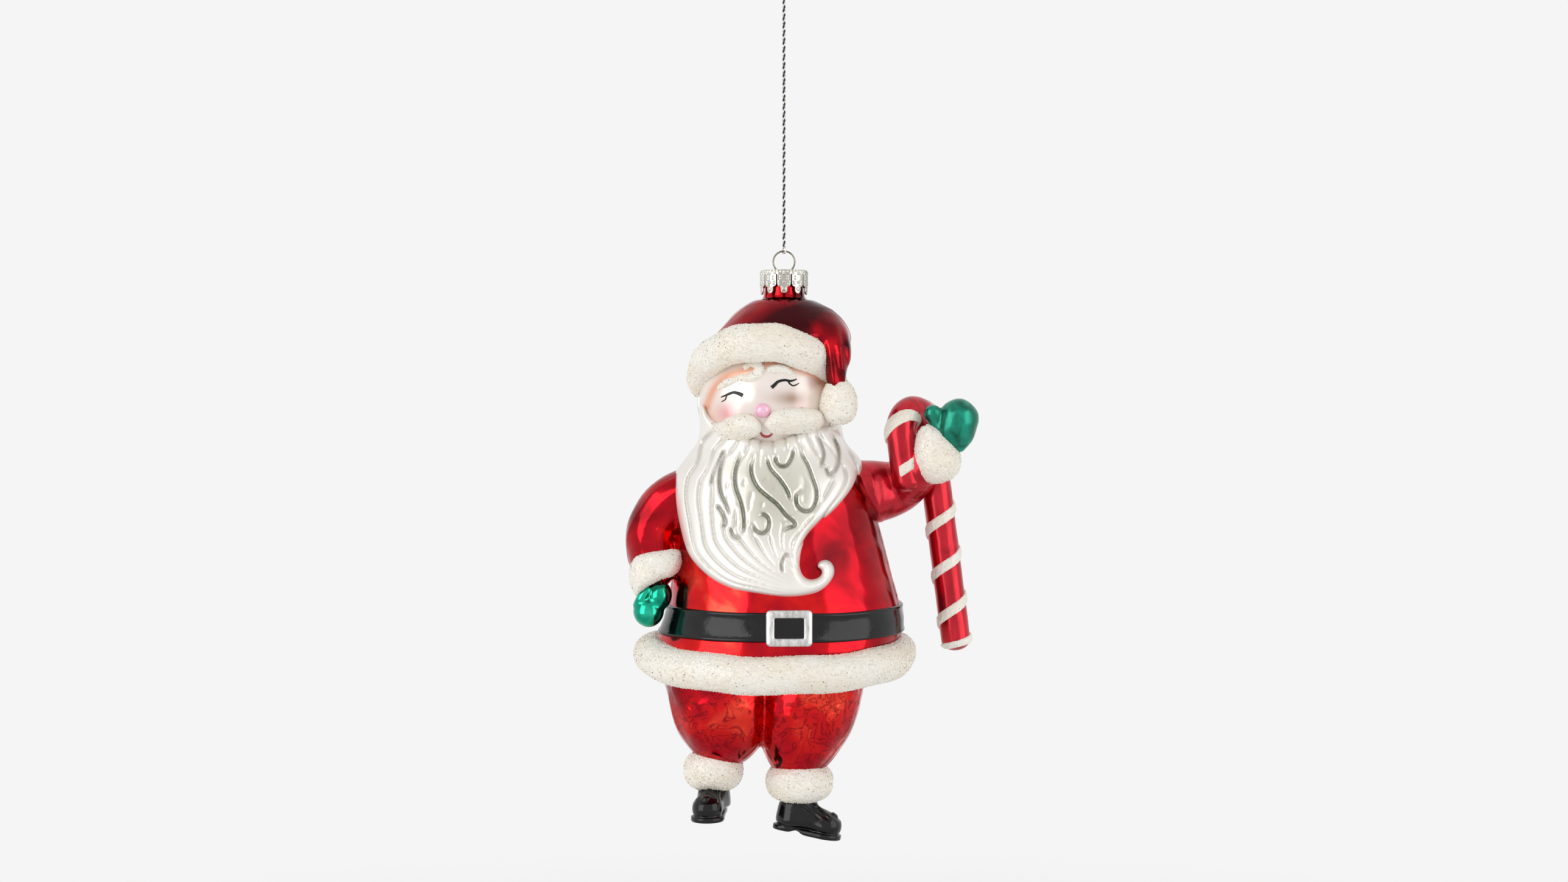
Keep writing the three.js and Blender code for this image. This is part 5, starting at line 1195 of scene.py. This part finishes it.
def caneStripe(sizes=caneSizes):
    half = sizes["stripeWidth"] / 2 / math.cos(math.atan(sizes["stripeLead"] / (2 * math.pi * sizes["radius"])))
    rising = np.arange(half + sizes["stripeEnd"], caneLength - half - sizes["stripeEnd"], 0.28)
    winding = sizes["stripeStart"] - 2 * math.pi * rising / sizes["stripeLead"]
    turn = np.arange(sizes["footTurn"], 0.05, -0.07)  # the last turn flattens out on the foot's dome
    falling = rising[0] - sizes["footDrop"] * (1 - np.exp(-turn / sizes["footFade"]))
    distance, angle = np.append(falling, rising), np.append(winding[0] + turn, winding)
    width = half * np.append(np.linspace(0.5, 0.95, len(turn)), np.ones(len(rising)))
    profile = [(-1, -0.25), (-0.92, 0.6), (-0.6, 1.0), (0, 1.1), (0.6, 1.0), (0.92, 0.6), (1, -0.25)]
    rows = [canePoint(distance + width * across, angle,
                      sizes["radius"] * caneDome(distance + width * across) + up * sizes["stripeRise"])
            for across, up in profile]
    return skinRings(np.stack(rows, 1))


addMesh("candy_cane_glass", *caneTube(), redStreaks, "candy_cane")
addGlitter("cane_stripe_glitter", "cane_stripe", *caneStripe(), 2.2)
print("cane made")

# Crown cap: thin plated sheet pressed into ten petals with beads
capSizes = {"radius": 6.15, "wall": 0.35, "top": 146.85, "skirt": 4.45, "tab": 1.7, "tabWidth": 1.75, "petals": 10,
            "slot": 0.3, "root": 1.25, "ribs": 48, "ribHeight": 0.09, "holeX": 1.83, "holeRadius": 0.6, "step": 0.13,
            "beads": [(-1.37, 0.98), (-0.85, 1.76), (-0.85, 2.42), (-1.24, 3.13), (-1.1, 3.72)],
            "bigBeads": [(1.04, 0.3), (3.26, 0.3), (4.96, 0.5)]}  # beads lie across and below the top


def capRelief(arc, depth, sizes=capSizes):
    rise = np.zeros(len(arc))
    beads = [(side * x, y, 0.24, 0.14) for x, y in sizes["beads"] for side in (-1, 1)]
    beads += [(0, y, radius, 0.2) for y, radius in sizes["bigBeads"]]
    for x, y, radius, height in beads:
        rise = np.maximum(rise, height * limited(1 - (np.hypot(arc - x, depth - y) / radius) ** 2) ** 0.5)
    ring = np.abs(np.hypot(arc, depth - 4.96) - 0.72)
    return np.maximum(rise, 0.08 * limited(1 - ring / 0.14))


def capField(p, sizes=capSizes):
    x, y, z = p.T
    reach, depth, angle = np.hypot(x, y), sizes["top"] - z, np.arctan2(y, x) + math.pi / 2
    share = 2 * math.pi / sizes["petals"]
    arc = (np.mod(angle + share / 2, share) - share / 2) * sizes["radius"]
    middle = sizes["radius"] - sizes["wall"] / 2
    ribs = sizes["ribHeight"] * np.cos(angle * sizes["ribs"]) * bell(depth - 0.35, 0.32)
    rise = capRelief(arc, depth) * (depth > 0.6) * (depth < 6) + ribs
    rounded = 0.45 * np.maximum(0, 1 - depth / 0.55) ** 2
    wall = np.abs(reach - middle + rounded - rise) - sizes["wall"] / 2
    half = share * sizes["radius"] / 2 - sizes["slot"] / 2
    side = np.abs(arc) - half
    body = softMax(softMax(side, depth - sizes["skirt"], 1.0), sizes["root"] - 0.6 - depth, 0.3)
    beyond = np.maximum(0, depth - sizes["skirt"] - sizes["tab"] + sizes["tabWidth"] / 2)
    tab = np.hypot(arc, beyond) - sizes["tabWidth"] / 2
    petal = softMin(body, np.maximum(tab, 3.5 - depth), 0.25)
    wall = np.maximum(wall, np.minimum(petal, depth - sizes["root"]))
    wall = np.maximum(wall, np.maximum(-depth, depth - 7))
    lid = np.maximum(np.abs(depth - sizes["wall"] / 2 - 0.05 * (reach < 4.6)) - sizes["wall"] / 2, reach - middle)
    for side in (-1, 1):
        hole = np.hypot(x - side * sizes["holeX"], y) - sizes["holeRadius"]
        lid = np.maximum(lid - 0.12 * bell(hole, 0.2), -hole)
    return softMin(wall, lid, 0.12)


addMesh("crown_cap", *skinField(capField, (-6.8, -6.8, 140.2), (6.8, 6.8, 147.2), capSizes["step"], rounds=2),
        nickelPlate, "ornament_cap", "cap")

# Wire hanger: one spring wire bent to a ring, with both legs through the cap
wireSizes = {"radius": 0.225, "ring": 2.78, "centre": 149.15, "legX": 1.83, "knee": 142.85, "spread": 3.635,
             "foot": 134.85}


def wireHanger(sizes=wireSizes):
    gap = math.acos(sizes["legX"] / sizes["ring"])
    turn = np.linspace(math.pi + gap, -gap, 90)
    ring = np.stack([sizes["ring"] * np.cos(turn), 0 * turn, sizes["centre"] + sizes["ring"] * np.sin(turn)], -1)
    leg = np.array([[-sizes["spread"], 0, sizes["foot"]]] + [
        [-sizes["legX"] - out, 0, sizes["knee"] + up] for out, up in ((0.9, -4), (0.05, -0.6), (0, 0.6), (0, 2.8))])
    knots = np.concatenate([leg, ring[2:-2], leg[::-1] * [-1, 1, 1]])
    return tube(smoothLine(knots, 260), sizes["radius"], sides=14)


addMesh("wire_ring_hanger", *wireHanger(), springWire, "wire_hanger", "hanger")
print("cap and hanger made")


# Floor: a plain pale disc far below the hanging figure, fading into the background
lightSizes = {"background": "#F5F5F5", "ambient": 0.54, "floorHeight": -0.30, "floorRadius": 0.45}


def paleFloor(sizes=lightSizes):
    turn = np.linspace(0, 2 * np.pi, 96, endpoint=False)
    rings = [np.stack([r * np.cos(turn), r * np.sin(turn), 0 * turn], -1) for r in np.linspace(0.02, 1, 12)]
    points, faces = skinRings(np.array(rings) * sizes["floorRadius"])
    points[:, 2] += sizes["floorHeight"]
    piece = bpy.data.meshes.new("pale_floor")
    piece.from_pydata([tuple(p) for p in points], [], [tuple(int(k) for k in f) for f in faces])
    disc = bpy.data.objects.new("pale_floor", piece)
    bpy.context.scene.collection.objects.link(disc)
    material, tree, shader, place = newMaterial("matt_paper_floor", None, {
        "Base Color": colourOf("#F2F2F2"), "Roughness": 0.9})
    out = tree.nodes["Material Output"]
    glow = addNode(tree, "Emission", {"Color": colourOf(sizes["background"]), "Strength": 1.0})
    away = addNode(tree, "VectorMath", {0: place}, operation="LENGTH")
    fade = addNode(tree, "MapRange", {
        "Value": away.outputs["Value"], "From Min": 0.2, "From Max": 0.52, "To Min": 0.0, "To Max": 1.0})
    blended = addNode(tree, "MixShader", {
        0: fade.outputs["Result"], 1: shader.outputs["BSDF"], 2: glow.outputs["Emission"]})
    tree.links.new(blended.outputs["Shader"], out.inputs["Surface"])
    piece.materials.append(material)


paleFloor()


# World: the pale background, also in metal and glass, and the same room dimmer as soft light on paint
def softRoom(sizes=lightSizes):
    world = bpy.data.worlds.new("soft_room")
    bpy.context.scene.world = world
    world.use_nodes = True
    tree = world.node_tree
    ambient = tree.nodes["Background"]
    ambient.inputs["Color"].default_value = colourOf(sizes["background"])
    ambient.inputs["Strength"].default_value = sizes["ambient"]
    plain = addNode(tree, "Background", {"Color": colourOf(sizes["background"]), "Strength": 1.0})
    ray = addNode(tree, "LightPath")
    shown = addNode(tree, "Math", {0: ray.outputs["Is Camera Ray"], 1: ray.outputs["Is Glossy Ray"]},
                    operation="ADD", use_clamp=True)
    shown = addNode(tree, "Math", {0: shown.outputs["Value"], 1: ray.outputs["Is Transmission Ray"]},
                    operation="ADD", use_clamp=True)
    addNode(tree, "MixShader", {
        0: shown.outputs["Value"], 1: ambient.outputs["Background"], 2: plain.outputs["Background"]},
        into={"Shader": tree.nodes["World Output"].inputs["Surface"]})


softRoom()


def softbox(name, place, size, power):
    lamp = bpy.data.lights.new(name, "AREA")
    lamp.shape = "RECTANGLE"
    lamp.size, lamp.size_y = size
    lamp.energy = power
    box = bpy.data.objects.new(name, lamp)
    box.location = place
    aim = unit(np.array([0, 0, -0.13]) - place)
    box.rotation_euler = (math.acos(-aim[2]), 0, math.atan2(aim[1], aim[0]) - math.pi / 2)
    bpy.context.scene.collection.objects.link(box)


softbox("left_softbox", (-0.6, -0.5, 0.05), (0.55, 0.9), 3.3)
softbox("right_softbox", (0.65, -0.4, 0.0), (0.6, 0.9), 2.3)
bpy.context.scene.view_settings.view_transform = "Standard"
print("floor, room and lights ready")
